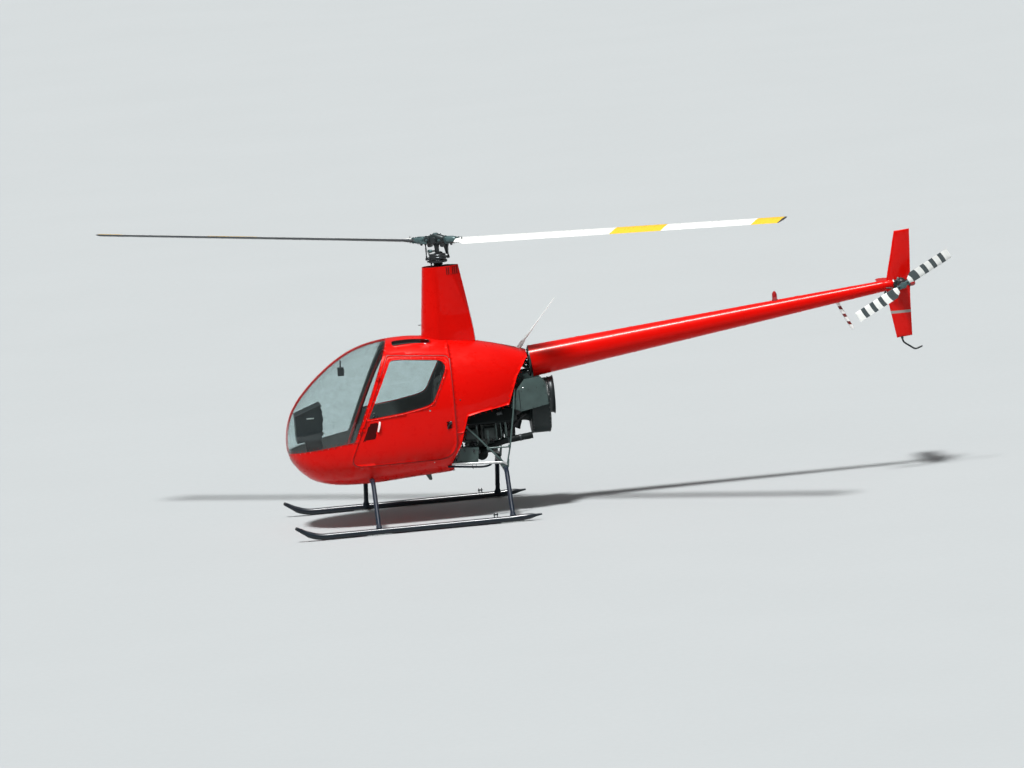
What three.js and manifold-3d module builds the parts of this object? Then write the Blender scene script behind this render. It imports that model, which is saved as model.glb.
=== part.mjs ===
// Two-seat light helicopter, parked on its skids. Millimetres: +X aft, +Y starboard, +Z up.
// Sizes are worked out from the rotor mast's axis at x = 0 and the ground at z = 0.

import * as THREE from 'three';
import { mergeVertices } from 'three/addons/utils/BufferGeometryUtils.js';
import Module from 'manifold-3d';

const wasm = await Module();
wasm.setup();

// Driving dimensions
const rotorRadius = 3835;
const hubHeight = 2650;
const bladeChord = 183;
const bladeAzimuth = -35;
const bladeConing = 2;
const shaftDistance = 4409;
const tailHubHeight = 1824;
const tailHubSide = -250;
const tailRadius = 533;
const tailChord = 102;
const tailAzimuth = 27.7;
const skidTread = 1930;
const skidRadius = 30;
const soleThickness = 4;
const legRadius = 22;
const wall = 30;
const glass = 6;
const seat = 0.3;
const doorGap = 12;
const doorFrontGap = 11;
const doorHingeOffset = 20;
const frameTube = 12;
const originShift = -863;

const materials = {
  paint: { color: 0xc80d08, roughness: 0.25, metalness: 0 },
  glass: { color: 0x9fc4c6, roughness: 0.05, metalness: 0 },
  tinted: { color: 0x1d2730, roughness: 0.1, metalness: 0 },
  machinery: { color: 0x4a5f5e, roughness: 0.55, metalness: 0.4 },
  dark: { color: 0x1b2226, roughness: 0.5, metalness: 0.2 },
  steel: { color: 0x8c9696, roughness: 0.35, metalness: 0.9 },
  gear: { color: 0x1c2c38, roughness: 0.3, metalness: 0.3 },
  white: { color: 0xe8ebe6, roughness: 0.35, metalness: 0 },
  trim: { color: 0x3c3f3e, roughness: 0.8, metalness: 0 },
  cushion: { color: 0x6d6a5c, roughness: 0.9, metalness: 0 },
  lens: { color: 0x8c1410, roughness: 0.2, metalness: 0 },
};
for (const [name, finish] of Object.entries(materials)) {
  materials[name] = new THREE.MeshStandardMaterial({ name, ...finish });
}

// Solids from three.js geometry
const rad = (degrees) => (degrees * Math.PI) / 180;
const mix = (a, b, t) => a + (b - a) * t;

function solidOf(geometry) {
  const bare = geometry.clone();
  bare.deleteAttribute('normal');
  bare.deleteAttribute('uv');
  const merged = mergeVertices(bare, 1e-3);
  const points = merged.attributes.position.array;
  const source = merged.index.array;
  const corners = [];
  let volume = 0;
  for (let i = 0; i < source.length; i += 3) {
    const [a, b, c] = [source[i], source[i + 1], source[i + 2]];
    if (a === b || b === c || c === a) continue;
    corners.push(a, b, c);
    const [p, q, r] = [a, b, c].map((k) => new THREE.Vector3().fromArray(points, 3 * k));
    volume += p.dot(q.cross(r));
  }
  if (volume < 0) {
    for (let i = 0; i < corners.length; i += 3) {
      [corners[i], corners[i + 1]] = [corners[i + 1], corners[i]];
    }
  }
  const mesh = new wasm.Mesh({
    numProp: 3,
    vertProperties: new Float32Array(points),
    triVerts: new Uint32Array(corners),
  });
  return new wasm.Manifold(mesh);
}

function geometryOf(solid) {
  const mesh = solid.getMesh();
  const geometry = new THREE.BufferGeometry();
  geometry.setAttribute('position', new THREE.BufferAttribute(mesh.vertProperties, 3));
  geometry.setIndex(new THREE.BufferAttribute(mesh.triVerts, 1));
  geometry.computeVertexNormals();
  return geometry;
}

const join = (solids) => solids.reduce((sum, solid) => sum.add(solid));

function box(x0, x1, y0, y1, z0, z1) {
  const geometry = new THREE.BoxGeometry(x1 - x0, y1 - y0, z1 - z0);
  geometry.translate((x0 + x1) / 2, (y0 + y1) / 2, (z0 + z1) / 2);
  return solidOf(geometry);
}

// A round rod between two points, with its end radii
function rod(from, to, r0, r1 = r0, sides = 12) {
  const a = new THREE.Vector3(...from);
  const b = new THREE.Vector3(...to);
  const along = b.clone().sub(a);
  const geometry = new THREE.CylinderGeometry(r1, r0, along.length(), sides);
  const turn = new THREE.Quaternion().setFromUnitVectors(
    new THREE.Vector3(0, 1, 0),
    along.clone().normalize(),
  );
  geometry.applyQuaternion(turn);
  geometry.translate(...a.add(b).multiplyScalar(0.5).toArray());
  return solidOf(geometry);
}

// A tube through a row of points, each inner corner rounded off over a bend length
function tube(points, radius, sides = 12, bend = 0, cuts = 3) {
  const corners = points.map((p) => new THREE.Vector3(...p));
  const path = [corners[0]];
  for (let i = 1; i + 1 < corners.length; i += 1) {
    const [before, corner, after] = [corners[i - 1], corners[i], corners[i + 1]];
    if (bend === 0) {
      path.push(corner);
      continue;
    }
    const start = before.clone().sub(corner).setLength(bend).add(corner);
    const end = after.clone().sub(corner).setLength(bend).add(corner);
    const arc = new THREE.QuadraticBezierCurve3(start, corner, end);
    path.push(...arc.getPoints(cuts));
  }
  path.push(corners[corners.length - 1]);
  const steps = path.slice(1).map((p, i) => p.clone().sub(path[i]).normalize());
  let across = new THREE.Vector3(0, 0, 1);
  if (Math.abs(steps[0].z) > 0.9) across = new THREE.Vector3(0, 1, 0);
  const rings = path.map((p, i) => {
    const into = steps[Math.max(i - 1, 0)];
    const out = steps[Math.min(i, steps.length - 1)];
    const along = into.clone().add(out).normalize();
    across.addScaledVector(into, -across.dot(into)).normalize();
    const other = into.clone().cross(across);
    const ring = [];
    for (let j = 0; j < sides; j += 1) {
      const angle = (2 * Math.PI * j) / sides;
      const spoke = across.clone().multiplyScalar(radius * Math.cos(angle))
        .addScaledVector(other, radius * Math.sin(angle));
      spoke.addScaledVector(into, -spoke.dot(along) / into.dot(along));
      ring.push(p.clone().add(spoke).toArray());
    }
    return ring;
  });
  return loft(rings);
}

// Rows of [radius, height] turned about Z
function turned(profile, sides = 24) {
  const geometry = new THREE.LatheGeometry(
    profile.map(([r, h]) => new THREE.Vector2(r, h)), sides);
  return solidOf(geometry.rotateX(Math.PI / 2));
}

// Outline with rounded corners: rows of [x, z, corner radius]
function roundedShape(rows) {
  const shape = new THREE.Shape();
  const count = rows.length;
  rows.forEach(([x, z, radius = 0], i) => {
    const before = rows[(i + count - 1) % count];
    const after = rows[(i + 1) % count];
    const start = cornerPoint(x, z, before, radius);
    const end = cornerPoint(x, z, after, radius);
    if (i === 0) shape.moveTo(...start);
    else shape.lineTo(...start);
    if (radius > 0) shape.quadraticCurveTo(x, z, ...end);
  });
  return shape;
}

function cornerPoint(x, z, [nx, nz], radius) {
  const length = Math.hypot(nx - x, nz - z);
  return [x + ((nx - x) * radius) / length, z + ((nz - z) * radius) / length];
}

// A side-view outline carried through from y0 to y1
function sidePrism(rows, y0, y1) {
  const geometry = new THREE.ExtrudeGeometry(roundedShape(rows), {
    depth: y1 - y0, bevelEnabled: false, curveSegments: 5,
  });
  geometry.rotateX(Math.PI / 2);
  geometry.translate(0, y1, 0);
  return solidOf(geometry);
}

// A plan-view outline carried through from z0 to z1
function planPrism(rows, z0, z1) {
  const geometry = new THREE.ExtrudeGeometry(roundedShape(rows), {
    depth: z1 - z0, bevelEnabled: false, curveSegments: 5,
  });
  geometry.translate(0, 0, z0);
  return solidOf(geometry);
}

// A closed skin through rings of points, all with the same count
function loft(rings) {
  const count = rings[0].length;
  const positions = rings.flat().flat();
  const index = [];
  for (let i = 0; i + 1 < rings.length; i += 1) {
    for (let j = 0; j < count; j += 1) {
      const a = i * count + j;
      const b = i * count + ((j + 1) % count);
      index.push(a, b, a + count, b, b + count, a + count);
    }
  }
  const last = (rings.length - 1) * count;
  for (let j = 1; j + 1 < count; j += 1) {
    index.push(0, j + 1, j, last, last + j, last + j + 1);
  }
  const geometry = new THREE.BufferGeometry();
  geometry.setAttribute('position', new THREE.Float32BufferAttribute(positions, 3));
  geometry.setIndex(index);
  return solidOf(geometry);
}

const model = new THREE.Group();
model.position.x = originShift;

function node(name, shape, material, parent = model) {
  const geometry = shape.getMesh ? geometryOf(shape) : shape;
  const mesh = new THREE.Mesh(geometry, material);
  mesh.name = name;
  parent.add(mesh);
  return mesh;
}

const sides = [['left', -1], ['right', 1]];

// The span of Y between two distances from the middle plane, on one side
const span = (side, near, far) => (side < 0 ? [-far, -near] : [near, far]);

// Fuselage form: x, top, bottom, half width, height where it is widest
const stations = [
  [-1600, 838, 812, 25, 825],
  [-1588, 955, 728, 130, 828],
  [-1550, 1085, 642, 212, 835],
  [-1480, 1208, 552, 300, 845],
  [-1380, 1326, 474, 378, 860],
  [-1240, 1458, 424, 444, 885],
  [-1090, 1572, 402, 490, 905],
  [-910, 1672, 396, 526, 925],
  [-690, 1736, 402, 550, 945],
  [-500, 1755, 416, 560, 955],
  [-300, 1753, 428, 560, 965],
  [-100, 1724, 438, 551, 980],
  [100, 1686, 460, 530, 1000],
  [300, 1652, 500, 487, 1030],
  [500, 1604, 560, 414, 1080],
  [650, 1562, 620, 342, 1130],
  [760, 1528, 680, 280, 1170],
];
const upperRoundness = 2.35;
const lowerRoundness = 3.2;
const ringPoints = 36;

// One column of the table, moved inwards along its own normal by an inset
function insetColumn(column, inset, sense) {
  return stations.map((row, i) => {
    const before = stations[Math.max(i - 1, 0)];
    const after = stations[Math.min(i + 1, stations.length - 1)];
    const dx = after[0] - before[0];
    const dv = after[column] - before[column];
    const length = Math.hypot(dx, dv);
    return [row[0] + (sense * dv * inset) / length, row[column] - (sense * dx * inset) / length];
  });
}

function valueAt(rows, x) {
  const k = rows.findIndex((row) => row[0] >= x);
  if (k === -1) return rows[rows.length - 1][1];
  if (k === 0) return rows[0][1];
  const [x0, v0] = rows[k - 1];
  const [x1, v1] = rows[k];
  return mix(v0, v1, (x - x0) / (x1 - x0));
}

function bodyRing(x, top, bottom, half, widest) {
  const ring = [];
  for (let j = 0; j < ringPoints; j += 1) {
    const angle = (2 * Math.PI * (j + 0.5)) / ringPoints;
    const c = Math.cos(angle);
    const s = Math.sin(angle);
    const power = 2 / (s > 0 ? upperRoundness : lowerRoundness);
    const height = s > 0 ? top - widest : widest - bottom;
    ring.push([
      x,
      half * Math.sign(c) * Math.abs(c) ** power,
      widest + height * Math.sign(s) * Math.abs(s) ** power,
    ]);
  }
  return ring;
}

// Distance of the outer skin from the middle plane
function skinSide(x, z) {
  const [top, bottom, half, widest] = [1, 2, 3, 4].map((column) => (
    valueAt(stations.map((row) => [row[0], row[column]]), x)));
  const power = z > widest ? upperRoundness : lowerRoundness;
  const height = z > widest ? top - widest : widest - bottom;
  return half * (1 - (Math.abs(z - widest) / height) ** power) ** (1 / power);
}

// The whole fuselage form, drawn in by an inset, with its open aft end carried on by a tail
function bodyForm(inset, tail = 0) {
  const top = insetColumn(1, inset, 1);
  const bottom = insetColumn(2, inset, -1);
  const half = insetColumn(3, inset, 1);
  const widest = stations.map((row) => [row[0], row[4]]);
  const nose = stations[0][0] + inset;
  const xs = [nose, ...stations.map((row) => row[0]).filter((x) => x > nose + 8)];
  if (tail > 0) xs.push(stations[stations.length - 1][0] + tail);
  return loft(xs.map((x) => {
    const middle = valueAt(widest, x);
    const high = Math.max(valueAt(top, x), middle + 4);
    const low = Math.min(valueAt(bottom, x), middle - 4);
    return bodyRing(x, high, low, Math.max(valueAt(half, x), 4), middle);
  }));
}

const bodyWidth = 900;
const outerForm = bodyForm(0);
const skin = outerForm.subtract(bodyForm(wall, 60));
const pane = outerForm.subtract(bodyForm(glass, 60));
const cavity = bodyForm(wall + seat);
const through = (rows) => sidePrism(rows, -bodyWidth, bodyWidth);

// Edges of the panels in side view
const sillHeight = 846;
const pillarFoot = [-985, sillHeight];
const pillarHead = [-600, 1752];
const pillarLean = (pillarHead[0] - pillarFoot[0]) / (pillarHead[1] - pillarFoot[1]);
const pillarX = (z) => pillarFoot[0] + (z - pillarFoot[1]) * pillarLean;
const hingeRows = [[-894, 965, 10], [-688, 1434.5, 16]];
const hingePoints = hingeRows.map(([x, z, proud]) => [x, skinSide(x, z) + proud, z]);
const hingeLean = (hingePoints[1][0] - hingePoints[0][0]) / (hingePoints[1][2] - hingePoints[0][2]);
const hingeX = (z) => hingePoints[0][0] + (z - hingePoints[0][2]) * hingeLean;
const roofEdge = 1658;
const cabinEnd = 10;
const above = 1900;

function doorOutline(frontGap, gap) {
  const front = (z) => hingeX(z) + doorHingeOffset - frontGap;
  return [
    [front(1646 + gap), 1646 + gap, 24],
    [gap - 2, 1592 + gap, 60],
    [gap - 2, 610 - gap, 200],
    [front(610 - gap), 610 - gap, 130],
  ];
}

const windowOutline = (shrink) => [
  [-812 + shrink, 1063 + shrink, 30],
  [-487, 1096 + shrink, 0],
  [-301, 1125 + shrink, 0],
  [-192 - shrink, 1150 + shrink, 40],
  [-50 - shrink, 1470, 30],
  [-62 - shrink, 1562 - shrink, 50],
  [-443, 1596 - shrink, 60],
  [-568 + shrink, 1596 - shrink, 36],
];

const doorReach = 200;
const doorHoles = join(sides.map(([, side]) => (
  sidePrism(doorOutline(doorFrontGap, doorGap), ...span(side, doorReach, bodyWidth)))));

// Landing gear legs: x and height of the cross tubes
const crossHeight = 452;
const frontLegX = -835;
const rearLegX = 443;
const legStations = [['front', frontLegX], ['rear', rearLegX]];
const legElbow = 590;
const legBend = 60;
const crossHalf = 620;

const legHoleRadius = legRadius + seat;
const skidAxis = soleThickness + skidRadius;

function gearPath(x) {
  const half = skidTread / 2;
  return [[x, -half, skidAxis], [x, -legElbow, crossHeight], [x, legElbow, crossHeight], [x, half, skidAxis]];
}

function crossHole(x) {
  return rod([x, -crossHalf, crossHeight], [x, crossHalf, crossHeight], legHoleRadius, legHoleRadius, 16);
}

// Cabin tub, with the nose and the belly, open for the front cross tube
const ahead = -1750;
const screenFoot = [ahead, 728];
const below = 250;
const tub = skin
  .intersect(through([
    [ahead, below], [-40, below], [-40, 500], [-50, 568], [38, 726], [77, sillHeight],
    pillarFoot, screenFoot,
  ]))
  .subtract(doorHoles)
  .subtract(crossHole(frontLegX));
node('cabin_tub', tub, materials.paint);

// Door pillars with their hinge forks
const hingeAxis = new THREE.Vector3(...hingePoints[1])
  .sub(new THREE.Vector3(...hingePoints[0]))
  .normalize();
function hingePoint(k, side, along) {
  const p = new THREE.Vector3(...hingePoints[k]).addScaledVector(hingeAxis, along);
  return [p.x, side * p.y, p.z];
}
const hingeTilt = Math.atan(hingeLean);
const knuckleRadius = 7;
const knuckleHalf = 12;
const forkLength = 13;
const forkGap = 1.2;
const plateDepth = 7;
const rootDepth = 28;
const forkPlate = [-26, -4];
const doorPlate = [36, doorHingeOffset + 2];

// One hinge piece: knuckle from low to high along the axis, a plate beside it and its root in the skin
function hingePiece(k, side, low, high, plateEnd, rootStart) {
  const a = hingePoint(k, side, low);
  const b = hingePoint(k, side, high);
  const axisSide = side * hingePoint(k, 1, 0)[1];
  const square = ([x, , z], reach) => [x + reach * Math.cos(hingeTilt), z - reach * Math.sin(hingeTilt)];
  const slab = (x0, x1, depth) => sidePrism(
    [square(a, x0), square(a, x1), square(b, x1), square(b, x0)],
    ...span(side, Math.abs(axisSide) - depth, Math.abs(axisSide)));
  return rod(a, b, knuckleRadius)
    .add(slab(0, plateEnd, plateDepth))
    .add(slab(rootStart, plateEnd, rootDepth));
}

function hingePieces(side, spans, [plateEnd, rootStart]) {
  return join([0, 1].flatMap((k) => spans.map(([low, high]) => (
    hingePiece(k, side, low, high, plateEnd, rootStart)))));
}

for (const [name, side] of sides) {
  const near = sidePrism([
    [pillarX(sillHeight + seat) + seat, sillHeight + seat], [-880, sillHeight + seat],
    [-578, roofEdge], [pillarX(roofEdge) + seat, roofEdge],
  ], ...span(side, 0, bodyWidth));
  const forks = hingePieces(side, [
    [-knuckleHalf - forkLength, -knuckleHalf - forkGap],
    [knuckleHalf + forkGap, knuckleHalf + forkLength],
  ], forkPlate);
  node(`pillar_${name}`, skin.intersect(near).subtract(doorHoles).add(forks), materials.paint);
}

// Roof, with its two tinted windows
const roofWindowX = [-522, -160];
const roofWindowY = [180, 300];
const roofWindowCorner = 30;
function roofWindow(side, grow) {
  const [front, back] = [roofWindowX[0] - grow, roofWindowX[1] + grow];
  const [near, far] = [side * (roofWindowY[0] - grow), side * (roofWindowY[1] + grow)];
  const corners = [[front, near], [back, near], [back, far], [front, far]];
  return planPrism(corners.map(([x, y]) => [x, y, roofWindowCorner]), 1400, above);
}
const roofWindows = sides.map(([, side]) => roofWindow(side, 0));
const roof = skin
  .intersect(through([
    [pillarX(roofEdge + seat) + seat, roofEdge + seat], [-577, roofEdge + seat], [-570, 1585],
    [cabinEnd, 1585],
    [cabinEnd, above], [pillarX(above) + seat, above],
  ]))
  .subtract(doorHoles)
  .subtract(join(roofWindows));
node('cabin_roof', roof, materials.paint);
sides.forEach(([name, side]) => {
  node(`roof_window_${name}`, pane.intersect(roofWindow(side, -seat)), materials.tinted);
});

// Windshield halves and the bow between them
const screen = [
  [ahead, screenFoot[1] + seat], [pillarFoot[0] - seat, sillHeight + seat],
  [pillarX(above) - seat, above], [ahead, above],
];
const bowHalf = 14;
const bowDepth = 18;
for (const [name, side] of sides) {
  const half = sidePrism(screen, ...span(side, bowHalf + seat, bodyWidth));
  node(`windshield_${name}`, pane.intersect(half), materials.glass);
}
const bow = outerForm.subtract(bodyForm(bowDepth)).intersect(sidePrism(screen, -bowHalf, bowHalf));
node('windshield_bow', bow, materials.paint);

// Doors with their windows
for (const [name, side] of sides) {
  const reach = span(side, doorReach, bodyWidth);
  const frame = skin
    .intersect(sidePrism(doorOutline(0, 0), ...reach))
    .subtract(sidePrism(windowOutline(0), ...reach))
    .add(hingePieces(side, [[-knuckleHalf, knuckleHalf]], doorPlate));
  node(`door_${name}`, frame, materials.paint);
  node(`door_window_${name}`, pane.intersect(sidePrism(windowOutline(seat), ...reach)),
    materials.glass);
}

// Firewall behind the seats
const firewall = cavity.intersect(through([
  [-49, 380], [-41, 500], [18, 800], [18, above], [30, above], [30, 800], [-29, 500], [-37, 380],
]));
node('firewall', firewall, materials.machinery);

// Engine cowl, open below and aft
const cowlEnd = 762;
const cowlLine = [
  [77, sillHeight + seat], [125, 994], [247, 1020], [535, 1057], [640, 1315], [748, 1465], [cowlEnd, 1465],
];
const cowl = skin.intersect(through([
  [cabinEnd + seat, sillHeight + seat], ...cowlLine, [cowlEnd, above], [cabinEnd + seat, above],
])).subtract(doorHoles);
node('engine_cowl', cowl, materials.paint);

// Mast fairing rows: height, leading edge, trailing edge, half width
const fairingRows = [
  [1600, -233, 310, 150],
  [1900, -209, 268, 128],
  [2150, -184, 228, 112],
  [2400, -160, 188, 96],
];
const fairingTop = fairingRows[3][0];
// Fairing outline from above: share of the chord, share of the half width
const fairingPlan = [
  [0, 0], [0.02, 0.3], [0.08, 0.62], [0.18, 0.88], [0.32, 1], [0.5, 0.93], [0.72, 0.66], [1, 0.16],
];
const wellRadius = 29;
const wellFloor = 2345;
function fairingRing([z, lead, trail, half]) {
  const port = fairingPlan.map(([t, w]) => [mix(lead, trail, t), -half * w, z]);
  const starboard = fairingPlan.slice(1).reverse().map(([t, w]) => [mix(lead, trail, t), half * w, z]);
  return [...port, ...starboard];
}
const ventCount = 5;
const ventStart = 68;
const ventStep = 21;
const ventWidth = 10;
const ventHeights = [2330, 2388];
const ventSlots = [];
for (let i = 0; i < ventCount; i += 1) {
  const x = ventStart + ventStep * i;
  for (const [, side] of sides) {
    ventSlots.push(box(x, x + ventWidth, ...span(side, 40 - 6 * i, 110), ...ventHeights));
  }
}
const fairing = loft(fairingRows.map(fairingRing))
  .subtract(bodyForm(-seat))
  .subtract(rod([0, 0, wellFloor], [0, 0, fairingTop + 50], wellRadius, wellRadius, 24))
  .subtract(join(ventSlots));
node('mast_fairing', fairing, materials.paint);
const pitotHeight = 1850;
const pitotRadius = 5;
node('pitot_tube', rod([-214, 0, pitotHeight], [-266, 0, pitotHeight], pitotRadius, pitotRadius, 8),
  materials.steel);

// Seats
const seatBox = through([[-600, 400], [-600, 660, 30], [-130, 640], [-32, 640], [-62, 400]]);
const cushionRoom = bodyForm(wall + 8);
const floorRoom = cavity.intersect(through([[-700, 300], [-700, 585], [0, 585], [0, 300]]));
const seatBase = seatBox.intersect(cushionRoom.add(floorRoom));
node('seat_base', seatBase, materials.trim);
const cushion = [[-612, 661], [-612, 742, 40], [-210, 728, 20], [-170.1, 728], [-124.8, 640.4]];
const backrest = [[-126, 644], [-186, 760, 50], [-92, 1330, 40], [-4, 1330, 20], [-4, 830], [-30, 700]];
const seatNear = 18;
const seatFar = 470;
for (const [name, side] of sides) {
  const width = span(side, seatNear, seatFar);
  node(`seat_cushion_${name}`, sidePrism(cushion, ...width).intersect(cushionRoom), materials.cushion);
  node(`back_cushion_${name}`, sidePrism(backrest, ...width).intersect(cushionRoom), materials.cushion);
}

// Instrument console and the cyclic bar
const headHalf = 150;
const footHalf = 85;
const consoleHead = sidePrism([
  [-1500, 1100, 10], [-1262, 1186, 16], [-1238, 1086, 10], [-1262, 867], [-1500, 840],
], -headHalf, headHalf);
const consoleFoot = sidePrism([[-1420, 860], [-1270, 872], [-1190, 400], [-1400, 400]], -footHalf, footHalf);
node('instrument_console', consoleHead.add(consoleFoot).intersect(cavity), materials.dark);
const gripSide = 300;
const gripRadius = 16;
const postHead = [-720, 0, 1010];
const cyclic = tube([[-760, 0, 400], [-760, 0, 700], postHead], 16, 12, 60)
  .add(tube([[-720, -gripSide, 985], postHead, [-720, gripSide, 985]], 11, 8))
  .add(join([-gripSide, gripSide].map((y) => rod([-720, y, 1000], [-712, y, 880], gripRadius))));
node('cyclic_bar', cyclic.intersect(cavity), materials.dark);

// Skids: straight tubes with an upturned toe, a trimmed heel, flat soles under the legs and two lugs
const toe = [-1616, 126];
const toeStart = -1450;
const skidEnd = 720;
const soleSpans = [[-940, -720], [340, 545]];
const soleHalf = 18;
const lugSpans = [[250, 270], [290, 310]];
const lugHalf = 12;
const lugHeights = [60, 86];
for (const [name, side] of sides) {
  const y = (side * skidTread) / 2;
  const runner = tube([[toe[0], y, toe[1]], [toeStart, y, skidAxis], [skidEnd, y, skidAxis]],
    skidRadius, 16, 110, 5);
  const heel = sidePrism([[440, -20], [440, 3], [740, 56], [740, -20]], y - 60, y + 60);
  const soles = soleSpans.map(([a, b]) => box(a, b, y - soleHalf, y + soleHalf, 0, 20));
  const lugs = lugSpans.map(([a, b]) => box(a, b, y - lugHalf, y + lugHalf, ...lugHeights));
  node(`skid_${name}`, runner.subtract(heel).add(join([...soles, ...lugs])), materials.gear);
}
const skidRoom = skidRadius + seat;
const skidRooms = join([-1, 1].map((s) => rod(
  [-1200, (s * skidTread) / 2, skidAxis], [700, (s * skidTread) / 2, skidAxis], skidRoom, skidRoom, 16)));
for (const [name, x] of legStations) {
  node(`gear_${name}`, tube(gearPath(x), legRadius, 16, legBend, 4).subtract(skidRooms), materials.gear);
}

// Steel frame tubes each side of the engine bay, with a knuckle round the rear cross tube
const frameHalf = 455;
const knuckleReach = 24;
const legKnuckleRadius = 38;
const frameHead = skinSide(572, 1165) - wall - frameTube - 14;
for (const [name, side] of sides) {
  const y = side * frameHalf;
  const runs = [
    [[452, y, 462], [501, y, 663], [562, side * 385, 1010], [572, side * frameHead, 1165]],
    [[39, y, 953], [107, y, 885], [452, y, 480]],
    [[293, y, 659], [501, y, 668]],
    [[-18.5, y, 540], [430, y, 513], [452, y, 480]],
  ];
  const knuckle = rod([rearLegX, y - knuckleReach, crossHeight + 6],
    [rearLegX, y + knuckleReach, crossHeight + 6], legKnuckleRadius, legKnuckleRadius, 16);
  const frame = join(runs.map((run) => tube(run, frameTube, 8))).add(knuckle);
  node(`frame_${name}`, frame.subtract(crossHole(rearLegX)), materials.gear);
}

// Upper frame: four tubes from the firewall to the ring that carries the tail boom
const boomSlope = 0.1159;
const boomStart = 800;
const boomAxis = (x) => 1409 + (x - 821) * boomSlope;
const ringX = boomStart - 14;
const upperRuns = [-1, 1].flatMap((s) => [
  [[32.7, s * 240, 1470], [ringX, s * 100, boomAxis(ringX) + 45]],
  [[33.6, s * 240, 1180], [ringX, s * 90, boomAxis(ringX) - 80]],
]);
const onBoom = (x) => [x, 0, boomAxis(x)];
const ringRadius = 140;
const ringBore = 100;
const ringEnd = [boomStart - seat, 0, boomAxis(boomStart)];
const boomRing = rod(onBoom(ringX - 10), ringEnd, ringRadius, ringRadius, 24)
  .subtract(rod(onBoom(ringX - 40), onBoom(boomStart + 20), ringBore, ringBore, 24));
const upperFrame = join(upperRuns.map((run) => tube(run, frameTube, 8))).add(boomRing);
node('upper_frame', upperFrame, materials.dark);

// Engine: crankcase, four finned cylinders with rocker covers, sump
const crankHeight = 790;
const barrelRadius = 62;
const finRadius = 86;
const finStep = 28;
const barrelLength = 140;
const finProfile = [[0, 0], [barrelRadius, 0], [barrelRadius, 20]];
for (let i = 0; i < 4; i += 1) {
  const h = 20 + finStep * i;
  finProfile.push([finRadius, h], [finRadius, h + 12], [barrelRadius, h + 12], [barrelRadius, h + finStep]);
}
finProfile.push([barrelRadius, barrelLength], [0, barrelLength]);
// Cylinders: x and side
const cylinderRows = [[150, -1], [330, -1], [190, 1], [370, 1]];
const barrelStart = 110;
const coverHalf = 72;
const coverSpan = [249, 340];
const coverHeights = [722, 862];
const engineParts = [
  box(70, 470, -125, 125, 700, 905),
  box(110, 430, -95, 95, 640, 760),
  rod([470, 0, crankHeight], [640, 0, crankHeight], 60, 46, 16),
];
for (const [x, side] of cylinderRows) {
  const barrel = new THREE.LatheGeometry(finProfile.map(([r, h]) => new THREE.Vector2(r, h)), 12);
  if (side < 0) barrel.rotateX(Math.PI);
  engineParts.push(solidOf(barrel.translate(x, side * barrelStart, crankHeight)));
  engineParts.push(box(x - coverHalf, x + coverHalf, ...span(side, ...coverSpan), ...coverHeights));
}
engineParts.push(rod([30 + seat, 0, 800], [80, 0, 800], 70, 70, 16));
node('engine_block', join(engineParts), materials.machinery);

// Cooling fan housing behind the engine: a scroll that widens by its growth over one turn
const scrollHeight = 978;
const scrollRadius = 247;
const scrollGrowth = 20;
const scrollSides = 20;
const scrollStart = 752;
const scrollDepth = 190;
function scrollForm(grow) {
  const points = [];
  for (let i = 0; i < scrollSides; i += 1) {
    const angle = (2 * Math.PI * i) / scrollSides;
    const radius = scrollRadius + scrollGrowth * (i / scrollSides) + grow;
    points.push(new THREE.Vector2(radius * Math.cos(angle), scrollHeight + radius * Math.sin(angle)));
  }
  const geometry = new THREE.ExtrudeGeometry(new THREE.Shape(points), {
    depth: scrollDepth + 2 * grow, bevelEnabled: false,
  });
  return solidOf(geometry.rotateX(Math.PI / 2).rotateZ(Math.PI / 2).translate(scrollStart - grow, 0, 0));
}
const inletHeight = 1068;
const fanRadius = 158;
const roomRadius = fanRadius + 8;
const inletRadius = fanRadius + 22;
const gearHeight = crankHeight + 60;
const fanHousing = scrollForm(0)
  .add(rod([930, 0, inletHeight], [995, 0, inletHeight], inletRadius, inletRadius, 28))
  .add(rod([640 + seat, 0, gearHeight], [760, 0, gearHeight], 90, 90, 16))
  .subtract(rod([790, 0, inletHeight], [1020, 0, inletHeight], roomRadius, roomRadius, 28));
node('fan_housing', fanHousing, materials.machinery);
const fanParts = [
  rod([790 + seat, 0, inletHeight], [950, 0, inletHeight], 46, 34, 16),
  rod([800, 0, inletHeight], [812, 0, inletHeight], fanRadius - 6, fanRadius - 6, 24),
];
const fanBlades = 10;
const vaneRoot = 58;
const vaneLength = fanRadius - 8 - vaneRoot;
for (let i = 0; i < fanBlades; i += 1) {
  const vane = new THREE.BoxGeometry(76, 5, vaneLength).translate(846, 0, vaneRoot + vaneLength / 2);
  fanParts.push(solidOf(vane.rotateX((2 * Math.PI * i) / fanBlades).translate(0, 0, inletHeight)));
}
node('cooling_fan', join(fanParts), materials.dark);

// Cooling shrouds at both sides of the fan housing
const shroudOutline = [
  [590, 1000, 8], [590, 1110, 10], [650, 1236], [713, 1316, 10], [867, 1318, 10], [901, 1262],
  [917, 1009, 10], [740, 984],
];
for (const [name, side] of sides) {
  const duct = sidePrism(shroudOutline, ...span(side, 312, 372));
  const throat = box(770, 880, ...span(side, 170, 320), 1010, 1160);
  node(`side_shroud_${name}`, duct.add(throat).subtract(scrollForm(2 * seat)), materials.machinery);
}

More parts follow.
